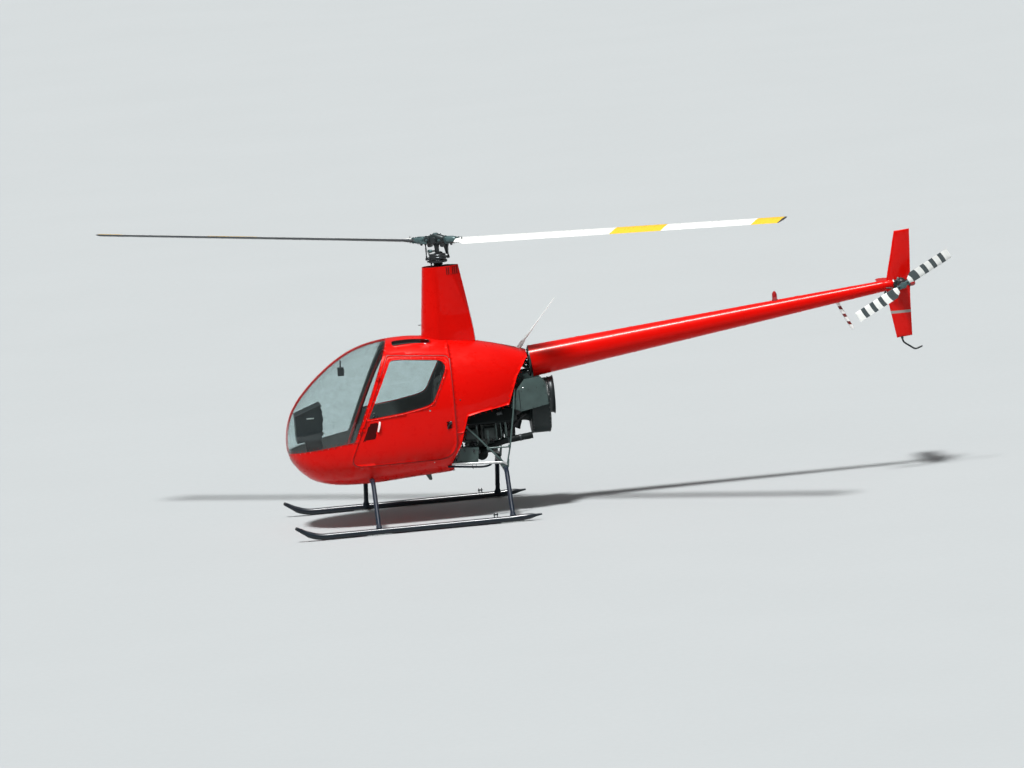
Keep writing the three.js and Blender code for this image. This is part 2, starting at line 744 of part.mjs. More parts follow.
// Exhaust: a cross box under the engine and its tail pipe
const mufflerRadius = 58;
const tailPipeRadius = 31;
const muffler = rod([250, -210, 581.7], [250, 210, 581.7], mufflerRadius, mufflerRadius, 16)
  .add(tube([[250, -170, 590], [430, -300, 700], [740, -300, 732]], tailPipeRadius, 12, 50));
node('muffler', muffler, materials.dark);
const panelOutline = [[36, 685, 8], [205, 669, 8], [192, 526, 8], [-19.9, 544]];
node('equipment_panel', sidePrism(panelOutline, -430, -330), materials.dark);

// Tail boom: a hollow cone, open at its front end. Rows: radius, share of the length from the aft end
const boomEnd = 4235;
const boomAlong = (boomEnd - boomStart) / Math.cos(Math.atan(boomSlope));
const boomWall = 12;
const boomRows = [[53, 0], [90, 0.35], [131, 0.79], [152, 1]];
function boomForm(grow) {
  const outer = boomRows.map(([r, share], i) => [r + grow, i === 0 ? -grow : share * boomAlong]);
  const inner = boomRows.map(([r, share], i) => [r - boomWall, i === 0 ? boomWall : share * boomAlong]);
  const rows = [[0, -grow], ...outer, ...inner.reverse(), [0, boomWall]];
  const profile = rows.map(([r, h]) => new THREE.Vector2(r, h));
  const geometry = new THREE.LatheGeometry(profile, 24).rotateZ(Math.PI / 2);
  geometry.rotateY(-Math.atan(boomSlope));
  return solidOf(geometry.translate(boomEnd, 0, boomAxis(boomEnd)));
}
node('tail_boom', boomForm(0), materials.paint);

// A symmetrical wing section: chord fractions and half thickness by the four-digit formula
function halfThickness(t) {
  return 5 * (0.2969 * Math.sqrt(t) - 0.126 * t - 0.3516 * t ** 2 + 0.2843 * t ** 3 - 0.1015 * t ** 4);
}

function sectionRow(count, thickness) {
  const rows = [];
  for (let i = 0; i <= count; i += 1) {
    const t = 0.5 * (1 - Math.cos((Math.PI * i) / count));
    rows.push([t, thickness * halfThickness(t)]);
  }
  return rows;
}

function sectionLoop(count, thickness) {
  const rows = sectionRow(count, thickness);
  const lower = rows.slice(1).reverse().map(([t, h]) => [t, -h]);
  return [...rows, ...lower];
}

// Vertical fin: height, leading edge, trailing edge
const finRows = [
  [1296, 4312, 4461],
  [1700, 4250, 4466],
  [1860, 4254, 4474],
  [2320, 4352, 4516],
];
const finThickness = 0.13;
const finForm = (grow) => loft(finRows.map(([z, lead, trail]) => sectionLoop(7, finThickness)
  .map(([t, h]) => [mix(lead - grow, trail + grow, t), h * (trail - lead) + Math.sign(h) * grow, z])));
node('tail_fin', finForm(0), materials.paint);

// Stabilizer on the starboard side: side distance, leading edge, trailing edge, height
const stabilizerRows = [[16, 4190, 4440, 1812], [640, 4230, 4430, 1824]];
const stabilizer = loft(stabilizerRows.map(([y, lead, trail, z]) => (
  sectionLoop(6, 0.12).map(([t, h]) => [mix(lead, trail, t), y, z + h * (trail - lead)]))));
const boomPlug = rod(onBoom(4150), [boomEnd + seat, 0, boomAxis(boomEnd)], 57, 54, 24);
node('stabilizer', stabilizer.subtract(boomPlug).subtract(finForm(seat)), materials.paint);

// Tail gearbox, guard rod, tail skid and lights
const gearbox = rod([boomEnd + seat, -34, boomAxis(boomEnd)], [4330, -34, boomAxis(4330)], 34, 30, 16)
  .add(rod([shaftDistance, -16, tailHubHeight], [shaftDistance, -120, tailHubHeight], 52, 42, 16))
  .add(box(4320, 4440, -70, -18, 1788, 1850))
  .subtract(finForm(seat));
node('tail_gearbox', gearbox, materials.machinery);
const guardX = 3785;
const guardFoot = [3888, 0, 1441];
const guardRadius = 11;
const guardRod = rod([guardX, 0, boomAxis(guardX) - 60], guardFoot, guardRadius, guardRadius, 12);
node('guard_rod', guardRod.subtract(boomForm(seat)), materials.white);
const tailSkidPath = [[4384, 0, 1295.6], [4384, 0, 1222], [4470, 0, 1168], [4560, 0, 1192]];
node('tail_skid', tube(tailSkidPath, 8.5, 8, 42, 3), materials.dark);
const tailLight = rod([4468, -10, 1842], [4538, -10, 1842], 17, 14, 14);
node('tail_light', tailLight.subtract(finForm(seat)), materials.lens);
const beaconX = 3190;
const beaconFoot = boomAxis(beaconX) + 80;
const beaconProfile = [[0, 0], [27, 0], [27, 14], [24, 60], [14, 88], [0, 94]];
const beacon = turned(beaconProfile, 16).translate([beaconX, 0, beaconFoot]);
node('beacon', beacon.subtract(boomForm(seat)), materials.lens);
const whipFoot = [682, 0, 1535];
const whip = tube([whipFoot, [846, 0, 1730], [1068, 0, 1988]], 7, 8)
  .add(rod(whipFoot, [736, 0, 1602], 20, 9, 10));
node('whip_antenna', whip.subtract(bodyForm(-seat)), materials.white);
const bladeAntenna = sidePrism([[-310, 445], [-240, 445], [-232, 356], [-262, 356]], -3, 3);
node('belly_antenna', bladeAntenna.subtract(bodyForm(-seat)), materials.machinery);

// Main rotor
const rotor = new THREE.Group();
rotor.position.z = hubHeight;
rotor.rotation.z = rad(bladeAzimuth);
model.add(rotor);
const hubHalf = 100;
const mastRadius = 22.5;
const mastFoot = wellFloor + seat - hubHeight;
const hubDepth = 35;
const coningPin = 70;
const hub = box(-hubHalf, hubHalf, -36, 36, -hubDepth, hubDepth)
  .add(rod([0, 0, 30], [0, 0, 60], 26, 22, 16))
  .add(rod([0, -62, 0], [0, 62, 0], 20, 20, 16))
  .add(join([-coningPin, coningPin].map((x) => rod([x, -52, 8], [x, 52, 8], 14, 14, 12))));
node('rotor_hub', hub, materials.machinery, rotor);
const mast = rod([0, 0, mastFoot], [0, 0, -hubDepth - seat], mastRadius, mastRadius, 20);
node('mast', mast, materials.steel, rotor);

// Swashplate: the lower ring stands on the fairing, the upper ring turns with the mast
const plateRadius = 92;
const rodCircle = 62;
const lowerBore = mastRadius + 6;
const controlRods = [180, 60, -60].map((angle) => {
  const [x, y] = [rodCircle * Math.cos(rad(angle)), rodCircle * Math.sin(rad(angle))];
  return rod([x, y, fairingTop + seat], [x, y, 2445], 8, 8, 10);
});
const lowerRing = rod([0, 0, 2440], [0, 0, 2462], plateRadius, plateRadius, 28)
  .subtract(rod([0, 0, 2430], [0, 0, 2470], lowerBore, lowerBore, 20))
  .add(join(controlRods));
node('swashplate_lower', lowerRing, materials.machinery);
const linkX = 70;
const linkY = 84;
const hornUnder = -24;
const upperPlate = [2470 - hubHeight, 2494 - hubHeight];
const armHeight = (upperPlate[0] + upperPlate[1]) / 2;
const upperBore = mastRadius + seat;
const linkArms = [1, -1].map((s) => rod([0, 0, armHeight], [s * linkX, s * linkY, armHeight], 11, 11, 10));
const links = [1, -1].map((s) => rod([s * linkX, s * linkY, armHeight - 6],
  [s * linkX, s * linkY, hornUnder - seat], 7, 7, 10));
const upperRing = rod([0, 0, upperPlate[0]], [0, 0, upperPlate[1]], 86, 86, 28)
  .add(join(linkArms))
  .subtract(rod([0, 0, upperPlate[0] - 10], [0, 0, upperPlate[1] + 16], upperBore, upperBore, 20))
  .add(join(links));
node('swashplate_upper', upperRing, materials.steel, rotor);

// Main blade: distance along the span, chord, thickness ratio
const gripEnd = 232;
const pitchAxis = 0.27;
const bladeTwist = -8;
const rootPitch = 11;
const bladeRows = [
  [gripEnd + 1, 96, 0.4],
  [290, 100, 0.38],
  [370, bladeChord, 0.14],
  [900, bladeChord, 0.12],
  [1700, bladeChord, 0.12],
  [2600, bladeChord, 0.12],
  [rotorRadius, bladeChord, 0.12],
];
function bladeSolid(rows, points, pitch, twist, tip) {
  return loft(rows.map(([r, chord, thickness]) => {
    const angle = rad(pitch + twist * (r / tip));
    const [c, s] = [Math.cos(angle), Math.sin(angle)];
    return sectionLoop(points, thickness).map(([t, h]) => {
      const forward = (pitchAxis - t) * chord;
      const up = h * chord;
      return [r, forward * c - up * s, forward * s + up * c];
    });
  }));
}
[['a', 0], ['b', 180]].forEach(([name, turn]) => {
  const arm = new THREE.Group();
  arm.rotation.z = rad(turn);
  rotor.add(arm);
  const grip = box(hubHalf + seat, gripEnd, -32, 32, -38, 40)
    .add(box(55, 150, 42, 92, hornUnder, -6))
    .add(box(110, 150, 20, 60, hornUnder, -6));
  node(`blade_grip_${name}`, grip, materials.machinery, arm);
  const blade = node(`main_blade_${name}`,
    bladeSolid(bladeRows, 8, rootPitch, bladeTwist, rotorRadius), materials.white, arm);
  blade.rotation.y = -rad(bladeConing);
  blade.position.set(gripEnd * (1 - Math.cos(rad(bladeConing))), 0, -gripEnd * Math.sin(rad(bladeConing)));
});

// Tail rotor
const tailRotor = new THREE.Group();
tailRotor.position.set(shaftDistance, tailHubSide, tailHubHeight);
tailRotor.rotation.y = -rad(tailAzimuth);
model.add(tailRotor);
const tailHubHalf = 62;
const tailPitch = 8;
const tailHub = rod([0, 130 - seat, 0], [0, -24, 0], 14, 14, 14)
  .add(rod([0, -26, 0], [0, 26, 0], 30, 30, 16))
  .add(box(-tailHubHalf, tailHubHalf, -12, 12, -22, 22));
node('tail_rotor_hub', tailHub, materials.machinery, tailRotor);
const tailRows = [[tailHubHalf + seat, 50, 0.34], [110, tailChord, 0.14], [tailRadius, tailChord, 0.12]];
[['a', 0], ['b', 180]].forEach(([name, turn]) => {
  const solid = bladeSolid(tailRows, 6, 0, 0, tailRadius);
  const geometry = geometryOf(solid).rotateX(-Math.PI / 2 + rad(tailPitch));
  const blade = node(`tail_blade_${name}`, geometry, materials.white, tailRotor);
  blade.rotation.y = rad(turn);
});

export default model;
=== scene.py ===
# Two-seat light helicopter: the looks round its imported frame.
# Lengths are millimetres from the rotor mast's axis and the ground, as in part.mjs: +X aft, +Y starboard,
# +Z up. shown() turns them into metres in the row frame.
import math
import random

import bpy
import numpy as np
from mathutils import Matrix, Vector
from mathutils.geometry import delaunay_2d_cdt


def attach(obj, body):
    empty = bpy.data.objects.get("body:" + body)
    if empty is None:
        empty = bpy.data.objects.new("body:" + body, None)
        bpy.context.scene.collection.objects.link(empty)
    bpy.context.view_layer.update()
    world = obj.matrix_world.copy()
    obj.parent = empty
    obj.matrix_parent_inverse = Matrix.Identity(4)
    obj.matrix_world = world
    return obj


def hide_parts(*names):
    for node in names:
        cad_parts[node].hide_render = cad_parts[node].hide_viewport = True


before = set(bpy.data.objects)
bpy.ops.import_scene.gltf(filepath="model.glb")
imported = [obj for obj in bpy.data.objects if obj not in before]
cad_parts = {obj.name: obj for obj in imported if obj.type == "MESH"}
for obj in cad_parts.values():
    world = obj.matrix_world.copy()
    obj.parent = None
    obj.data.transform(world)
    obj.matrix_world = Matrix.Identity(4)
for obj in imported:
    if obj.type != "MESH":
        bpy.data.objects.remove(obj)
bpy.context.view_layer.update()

MAST = np.array((-863.0, 0.0, 0.0))
SIDES = (("left", -1), ("right", 1))
random.seed(22)


# Shapes

def unit(v):
    v = np.asarray(v, float)
    return v / np.maximum(np.linalg.norm(v, axis=-1, keepdims=True), 1e-9)


class Form:
    """Points and faces that become one piece. Each face has a material number and may bring its normals."""

    def __init__(self):
        self.points, self.faces, self.marks, self.normals = [], [], [], []

    def add(self, points, faces, mark=0, normals=None):
        start = len(self.points)
        self.points.extend(map(tuple, np.asarray(points, float)))
        for k, face in enumerate(faces):
            self.faces.append([start + i for i in face])
            self.marks.append(mark if np.isscalar(mark) else mark[k])
            self.normals.extend([(0, 0, 0)] * len(face) if normals is None else normals[k])
        return self

    def turned_by(self, matrix):
        """The same form, with its points and normals carried through a 4x4 matrix."""
        made = Form()
        turn, move = np.array(matrix)[:3, :3], np.array(matrix)[:3, 3]
        made.points = [tuple(p) for p in np.array(self.points) @ turn.T + move]
        made.faces, made.marks = list(self.faces), list(self.marks)
        made.normals = [tuple(n) for n in np.array(self.normals) @ turn.T]
        return made

    def loft(self, rings, mark=0, caps=True, wrap=True, closed=False):
        """Skins a row of equal rings, with its faces turned outward."""
        rings = np.asarray(rings, float)
        count, size = rings.shape[:2]
        runs, across = count if closed else count - 1, size if wrap else size - 1
        faces, marks = [], []
        for i in range(runs):
            for j in range(across):
                a, b, k = i * size + j, i * size + (j + 1) % size, (i + 1) % count * size
                faces.append((a, b, k + (j + 1) % size, k + j))
                marks.append(mark(i, j) if callable(mark) else mark)
        points = rings.reshape(-1, 3)
        centred = points - points.mean(0)
        a, b, c, d = (centred[np.array(faces)[:, k]] for k in range(4))
        volume = np.sum(np.cross(a, b) * c) + np.sum(np.cross(a, c) * d)
        if caps and not closed:
            ends = tuple(range(size))[::-1], tuple((count - 1) * size + j for j in range(size))
            for end in ends:
                p = centred[list(end)]
                volume += np.sum(np.cross(p[:1], p[1:-1]) * p[2:])
                faces.append(end)
                marks.append(0 if callable(mark) else mark)
        if volume < 0:
            faces = [face[::-1] for face in faces]
        return self.add(points, faces, marks)

    def tube(self, path, radius, sides=16, bend=0.0, mark=0, caps=True):
        """A round tube along corner points, each inner corner rounded off over the bend length."""
        path = rounded_path(path, bend)
        radii = np.broadcast_to(radius, len(path)) if np.isscalar(radius) else np.interp(
            np.linspace(0, 1, len(path)), np.linspace(0, 1, len(radius)), radius)
        steps = unit(np.diff(path, axis=0))
        across = np.array((0, 0, 1.0)) if abs(steps[0][2]) < 0.9 else np.array((0, 1.0, 0))
        rings = []
        for i, p in enumerate(path):
            into, out = steps[max(i - 1, 0)], steps[min(i, len(steps) - 1)]
            along = unit(into + out)
            across = unit(across - into * (across @ into))
            other = np.cross(into, across)
            turn = np.arange(sides) * 2 * math.pi / sides
            spokes = np.outer(np.cos(turn), across) + np.outer(np.sin(turn), other)
            spokes -= np.outer(spokes @ along, into) / (into @ along)
            rings.append(p + radii[i] * spokes)
        return self.loft(rings, mark, caps)

    def rod(self, a, b, r0, r1=None, sides=20, mark=0):
        return self.turned(a, b, ((0, r0), (1, r0 if r1 is None else r1)), sides, mark, shares=True)

    def turned(self, a, b, rows, sides=24, mark=0, shares=False):
        """Rows of (distance from a towards b, radius), turned about the line."""
        a, b = np.asarray(a, float), np.asarray(b, float)
        along = unit(b - a)
        across = unit(np.cross(along, (0, 0, 1.0) if abs(along[2]) < 0.9 else (1.0, 0, 0)))
        other = np.cross(along, across)
        turn = np.arange(sides) * 2 * math.pi / sides
        spokes = np.outer(np.cos(turn), across) + np.outer(np.sin(turn), other)
        length = np.linalg.norm(b - a) if shares else 1.0
        return self.loft([a + along * h * length + max(r, 0.01) * spokes for h, r in rows], mark)

    def block(self, x, y, z, mark=0):
        """A box given by its two ends in x, y and z."""
        ring = [[(x[i], y[j], z[k]) for j, k in ((0, 0), (1, 0), (1, 1), (0, 1))] for i in (0, 1)]
        return self.loft(ring, mark)

    def prism(self, outline, y0, y1, mark=0):
        """A side-view outline of (x, z) carried through from y0 to y1."""
        return self.loft([[(x, y, z) for x, z in outline] for y in (y0, y1)], mark)

    def bolt(self, point, normal, radius=5.0, height=3.0, mark=0):
        """A six-sided head with its washer."""
        p, n = np.asarray(point, float), unit(normal)
        self.turned(p - n, p + n * height, ((0, radius * 1.5), (2, radius * 1.5)), 10, mark)
        return self.turned(p, p + n * height,
                           ((0, radius), (height * 0.85, radius), (height, radius * 0.85)), 6, mark)


def rounded_path(path, bend):
    path = [np.asarray(p, float) for p in path]
    made = [path[0]]
    for before, corner, after in zip(path, path[1:], path[2:]):
        if bend <= 0:
            made.append(corner)
            continue
        start = corner + unit(before - corner) * min(bend, np.linalg.norm(before - corner) * 0.49)
        end = corner + unit(after - corner) * min(bend, np.linalg.norm(after - corner) * 0.49)
        for t in np.linspace(0, 1, 7):
            made.append((1 - t) ** 2 * start + 2 * t * (1 - t) * corner + t * t * end)
    made.append(path[-1])
    return np.array(made)


def run_length(points):
    """Distance along a line at each of its points."""
    return np.concatenate([[0], np.cumsum(np.linalg.norm(np.diff(points, axis=0), axis=1))])


def sampled(at, length, values):
    """Rows of values, given at distances along a line, at other distances."""
    return np.stack([np.interp(at, length, values[:, i]) for i in range(values.shape[1])], -1)


def sided(side, near, far):
    """Two distances from the middle as a rising range on one side."""
    return sorted((side * near, side * far))


def outline(rows, closed=True, step=14.0):
    """Rows of (x, z, corner radius) as close points, each corner rounded as in part.mjs."""
    rows = [(*row, 0.0)[:3] for row in rows]
    made = []
    count = len(rows)
    for i, (x, z, radius) in enumerate(rows):
        here = np.array((x, z))
        if radius == 0 or (not closed and i in (0, count - 1)):
            made.append(here)
            continue
        before, after = np.array(rows[i - 1][:2]), np.array(rows[(i + 1) % count][:2])
        start, end = here + unit(before - here) * radius, here + unit(after - here) * radius
        for t in np.linspace(0, 1, max(4, int(radius / 5))):
            made.append((1 - t) ** 2 * start + 2 * t * (1 - t) * here + t * t * end)
    made = np.array(made)
    ends = np.vstack([made, made[:1]]) if closed else made
    dense = []
    for a, b in zip(ends, ends[1:]):
        pieces = max(1, int(np.linalg.norm(b - a) / step))
        dense.extend(a + (b - a) * k / pieces for k in range(pieces))
    if not closed:
        dense.append(ends[-1])
    return np.array(dense)


def shown(form, name, materials, body, replaces=(), soften=0.0, angle=35.0):
    """Makes the Blender object, in metres, riding on its body."""
    mesh = bpy.data.meshes.new(name)
    mesh.from_pydata(((np.array(form.points) + MAST) / 1000).tolist(), [], form.faces)
    for material in materials:
        mesh.materials.append(material)
    mesh.polygons.foreach_set("material_index", form.marks)
    mesh.shade_smooth()
    mesh.set_sharp_from_angle(angle=math.radians(angle))
    if np.any(np.array(form.normals)):
        mesh.normals_split_custom_set(form.normals)
    mesh.validate()
    piece = bpy.data.objects.new(name, mesh)
    bpy.context.scene.collection.objects.link(piece)
    if soften:
        bevel = piece.modifiers.new("edges", "BEVEL")
        bevel.width = soften / 1000
        bevel.segments = 2
        bevel.limit_method = "ANGLE"
        bevel.angle_limit = math.radians(angle)
        bevel.harden_normals = True
    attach(piece, body)
    if replaces:
        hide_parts(*replaces)
    return piece


# Materials

def add(tree, kind, inputs=None, **settings):
    """A shader node with its settings, its input values and its incoming links."""
    node = tree.nodes.new("ShaderNode" + kind)
    for key, value in settings.items():
        setattr(node, key, value)
    for key, value in (inputs or {}).items():
        if isinstance(value, bpy.types.NodeSocket):
            tree.links.new(value, node.inputs[key])
        else:
            node.inputs[key].default_value = value
    return node


def new_material(name):
    material = bpy.data.materials.new(name)
    material.use_nodes = True
    tree = material.node_tree
    shader = tree.nodes["Principled BSDF"]
    place = add(tree, "TexCoord").outputs["Object"]
    return material, tree, shader, place


def noise(tree, place, scale, detail=3.0, rough=0.5):
    return add(tree, "TexNoise", {"Vector": place, "Scale": scale, "Detail": detail,
                                  "Roughness": rough}).outputs["Fac"]


def spread(tree, value, low, high, to_low, to_high):
    return add(tree, "MapRange", {
        "Value": value, "From Min": low, "From Max": high, "To Min": to_low, "To Max": to_high,
    }).outputs["Result"]


def blend_colour(tree, share, first, second):
    node = add(tree, "Mix", data_type="RGBA")
    for socket, value in ((node.inputs[0], share), (node.inputs[6], first), (node.inputs[7], second)):
        if isinstance(value, bpy.types.NodeSocket):
            tree.links.new(value, socket)
        elif hasattr(value, "__len__"):
            socket.default_value = (*value[:3], 1)
        else:
            socket.default_value = value
    return node.outputs[2]


def shade(colour, factor):
    return tuple(min(1.0, c * factor) for c in colour)


def finish(name, colour, rough, metal=0.0, coat=0.0, cloud=(3.0, 0.06), grain=(900.0, 0.0002), dust=0.0,
           wear=None, scuff=0.08, specular=0.5, glint=(1, 1, 1), coat_rough=0.04):
    """A painted, cast or moulded surface: cloudy colour, uneven gloss, grain, dust and worn edges."""
    material, tree, shader, place = new_material(name)
    patch = noise(tree, place, cloud[0], 4.0, 0.6)
    base = blend_colour(tree, spread(tree, patch, 0.3, 0.7, 0, 1), shade(colour, 1 - cloud[1]),
                        shade(colour, 1 + cloud[1]))
    smear = noise(tree, place, 14.0, 5.0, 0.65)
    if dust:
        height = add(tree, "SeparateXYZ", {"Vector": place}).outputs["Z"]
        low = spread(tree, height, 0.75, 0.1, 0.0, 1.0)
        share = add(tree, "Math", {0: low, 1: spread(tree, smear, 0.4, 0.7, 0.0, dust)},
                    operation="MULTIPLY")
        base = blend_colour(tree, share.outputs[0], base, (0.36, 0.33, 0.28))
    if wear:
        point = add(tree, "NewGeometry").outputs["Pointiness"]
        edge = add(tree, "Math", {0: spread(tree, point, 0.53, 0.58, 0.0, 1.0),
                                  1: spread(tree, noise(tree, place, 60.0), 0.45, 0.6, 0.0, 1.0)},
                   operation="MULTIPLY")
        base = blend_colour(tree, edge.outputs[0], base, wear)
    tree.links.new(base, shader.inputs["Base Color"])
    tree.links.new(spread(tree, smear, 0.35, 0.7, max(0.03, rough - scuff), rough + scuff),
                   shader.inputs["Roughness"])
    bump = add(tree, "Bump", {"Strength": 0.5, "Distance": grain[1],
                              "Height": noise(tree, place, grain[0], 2.0)})
    tree.links.new(bump.outputs["Normal"], shader.inputs["Normal"])
    shader.inputs["Metallic"].default_value = metal
    shader.inputs["Coat Weight"].default_value = coat
    shader.inputs["Coat Roughness"].default_value = coat_rough
    shader.inputs["Specular IOR Level"].default_value = specular
    shader.inputs["Specular Tint"].default_value = (*glint, 1)
    return material


def glass(name, tint, gloss=0.9):
    """A pane: what is behind shows through its tint, and its faces reflect by the angle of view."""
    material, tree, shader, place = new_material(name)
    tree.nodes.remove(shader)
    film = noise(tree, place, 11.0, 6.0, 0.7)
    clear = add(tree, "BsdfTransparent", {
        "Color": blend_colour(tree, spread(tree, film, 0.35, 0.7, 0.0, 1.0), tint, shade(tint, 0.95))})
    mirror = add(tree, "BsdfGlossy", {"Color": (gloss, gloss, gloss, 1), "Roughness": 0.02})
    dull = add(tree, "BsdfDiffuse", {"Color": (0.5, 0.52, 0.52, 1)})
    bare = add(tree, "MixShader", {0: spread(tree, film, 0.5, 0.8, 0.0, 0.02), 1: clear.outputs[0],
                                   2: dull.outputs[0]})
    facing = add(tree, "LayerWeight", {"Blend": 0.5}).outputs["Facing"]
    steep = add(tree, "Math", {0: facing, 1: 5.0}, operation="POWER").outputs[0]
    share = spread(tree, steep, 0.0, 1.0, 0.03, 0.7)
    both = add(tree, "MixShader", {0: share, 1: bare.outputs[0], 2: mirror.outputs[0]})
    tree.links.new(both.outputs[0], tree.nodes["Material Output"].inputs["Surface"])
    return material


def paint_over(material, share, colour):
    """Paints a colour over a finish where a node's value is 1."""
    tree = material.node_tree
    base = tree.nodes["Principled BSDF"].inputs["Base Color"]
    tree.links.new(blend_colour(tree, share, base.links[0].from_socket, colour), base)
    return material


def height_in(material):
    """The height of the point that is shaded, in metres."""
    tree = material.node_tree
    place = next(n for n in tree.nodes if n.bl_idname == "ShaderNodeTexCoord").outputs["Object"]
    return add(tree, "SeparateXYZ", {"Vector": place}).outputs["Z"]


def banded(name, colour, bands):
    """Paint in bands along a blade: (start, end, colour), as shares of the span that its mesh holds."""
    material = finish(name, colour, 0.32, coat=0.3, grain=(500.0, 0.0002))
    tree = material.node_tree
    along = add(tree, "Attribute", attribute_name="span").outputs["Fac"]
    for start, end, band in bands:
        above = add(tree, "Math", {0: along, 1: start}, operation="GREATER_THAN").outputs[0]
        under = add(tree, "Math", {0: along, 1: end}, operation="LESS_THAN").outputs[0]
        paint_over(material, add(tree, "Math", {0: above, 1: under}, operation="MULTIPLY").outputs[0], band)
    return material


def fabric(name, colour, dark, scale=700.0):
    """Woven cloth: two crossed sets of threads with soft, uneven colour."""
    material, tree, shader, place = new_material(name)
    waves = [add(tree, "TexWave", {"Vector": place, "Scale": scale, "Distortion": 0.6, "Detail": 1.0},
                 bands_direction=way).outputs["Fac"] for way in ("Y", "Z", "X")]
    weave = add(tree, "Math", {0: waves[0], 1: waves[1]}, operation="MULTIPLY").outputs[0]
    weave = add(tree, "Math", {0: weave, 1: waves[2]}, operation="MAXIMUM").outputs[0]
    cloudy = spread(tree, noise(tree, place, 9.0, 4.0), 0.3, 0.7, 0.0, 0.35)
    base = blend_colour(tree, weave, dark, colour)
    base = blend_colour(tree, cloudy, base, shade(colour, 0.7))
    tree.links.new(base, shader.inputs["Base Color"])
    bump = add(tree, "Bump", {"Strength": 0.6, "Distance": 0.0006, "Height": weave})
    tree.links.new(bump.outputs["Normal"], shader.inputs["Normal"])
    shader.inputs["Roughness"].default_value = 0.85
    shader.inputs["Sheen Weight"].default_value = 0.3
    return material


RED = (0.58, 0.0028, 0.0014)
GLINT = (1.0, 0.14, 0.1)
PAINT = finish("red_gloss", RED, 0.33, coat=0.16, cloud=(1.6, 0.05), grain=(260.0, 0.00005), dust=0.2,
               specular=0.3, glint=GLINT)
PAINT_MOULDED = finish("red_moulded", shade(RED, 0.96), 0.33, coat=0.16, cloud=(2.4, 0.06),
                       grain=(170.0, 0.00012), specular=0.3, glint=GLINT)
PAINT_BOOM = finish("red_boom", RED, 0.36, coat=0.09, cloud=(1.6, 0.05), grain=(260.0, 0.00005),
                    specular=0.3, glint=GLINT, coat_rough=0.2)
TRIM = finish("cabin_lining", (0.075, 0.08, 0.078), 0.75, grain=(420.0, 0.0006), cloud=(6.0, 0.12))
PLASTIC = finish("black_plastic", (0.022, 0.024, 0.026), 0.45, grain=(650.0, 0.0005))
RUBBER = finish("rubber", (0.014, 0.014, 0.015), 0.7, grain=(800.0, 0.0004))
MACHINERY = finish("machinery_paint", (0.075, 0.105, 0.1), 0.4, metal=0.3, cloud=(18.0, 0.2),
                   grain=(420.0, 0.0004))
CAST = finish("cast_metal", (0.3, 0.31, 0.3), 0.5, metal=0.8, cloud=(22.0, 0.25), grain=(380.0, 0.0009))
STEEL = finish("bare_steel", (0.5, 0.51, 0.5), 0.28, metal=1.0, cloud=(30.0, 0.1), grain=(1200.0, 0.0001))
DARK = finish("dark_metal", (0.022, 0.028, 0.03), 0.4, metal=0.3, cloud=(12.0, 0.2), grain=(600.0, 0.0003))
GEAR = finish("gear_paint", (0.008, 0.015, 0.027), 0.45, cloud=(6.0, 0.15), dust=0.05,
              grain=(300.0, 0.0001), scuff=0.05, specular=0.16)
SKID = finish("skid_gloss", (0.006, 0.011, 0.017), 0.36, coat=0.4, cloud=(6.0, 0.15),
              grain=(300.0, 0.00006), scuff=0.05, specular=0.25, coat_rough=0.2)
SHROUD = finish("shroud_grey", (0.044, 0.07, 0.066), 0.45, cloud=(9.0, 0.15), grain=(260.0, 0.0006))
WHITE = finish("white_paint", (0.8, 0.81, 0.79), 0.34, coat=0.3, cloud=(4.0, 0.03), grain=(400.0, 0.0001))
LENS = finish("red_lens", (0.3, 0.006, 0.008), 0.12, coat=1.0, cloud=(40.0, 0.2), grain=(200.0, 0.0001))
MACHINERY_LIGHT = finish("machinery_light", (0.06, 0.105, 0.108), 0.4, metal=0.25, cloud=(22.0, 0.18),
                         grain=(420.0, 0.0003))
DARK_STEEL = finish("dark_steel", (0.05, 0.055, 0.058), 0.3, metal=0.8, cloud=(20.0, 0.2),
                    grain=(700.0, 0.0002))
# A darker copy of the shroud grey: painted shade on the fan scroll and inside the side ducts.
SHROUD_SHADE = finish("shroud_painted_shade", (0.013, 0.02, 0.02), 0.5, cloud=(9.0, 0.15), grain=(260.0, 0.0005),
                     specular=0.3)
FRAME_PAINT = finish("frame_paint", (0.06, 0.095, 0.09), 0.36, metal=0.1, coat=0.2, cloud=(10.0, 0.12))
# A pale, glossy copy of the frame paint: a painted highlight along the lower frame tube.
FRAME_HIGHLIGHT = finish("frame_painted_highlight", (0.55, 0.56, 0.56), 0.25, metal=0.4, coat=0.4, cloud=(12.0, 0.12))
# Darker copies of the machinery grey and the cast metal: painted shade for the engine, the drive and the
# upper frame, which lie in the shaded engine bay.
MACHINE_GREY_SHADED = finish("machine_grey_painted_shade", (0.03, 0.04, 0.038), 0.45, metal=0.2, cloud=(18.0, 0.22),
                      grain=(420.0, 0.0004))
MACHINE_CAST_SHADED = finish("machine_cast_painted_shade", (0.1, 0.105, 0.1), 0.5, metal=0.7, cloud=(22.0, 0.25),
                     grain=(380.0, 0.0009))
# Dark grey-green. On the rotor hub it is painted shade, darker than the grips, for the hub's shaded middle;
# the tail gearbox case takes the same colour.
DARK_MACHINERY_AND_SHADE = finish("dark_machinery_and_painted_shade", (0.024, 0.034, 0.035), 0.38, metal=0.3, cloud=(24.0, 0.25),
                   grain=(420.0, 0.0003))
# Near black that stands in for the shade inside the engine bay: painted shade on the cowl's inner faces and
# cut edges, the baffles and the muffler.
NEAR_BLACK_SHADE = finish("near_black_painted_shade", (0.007, 0.01, 0.01), 0.7, cloud=(14.0, 0.3), grain=(300.0, 0.0006), specular=0.2)
SOOT = finish("pipe_soot", (0.008, 0.008, 0.008), 0.9, cloud=(30.0, 0.3))
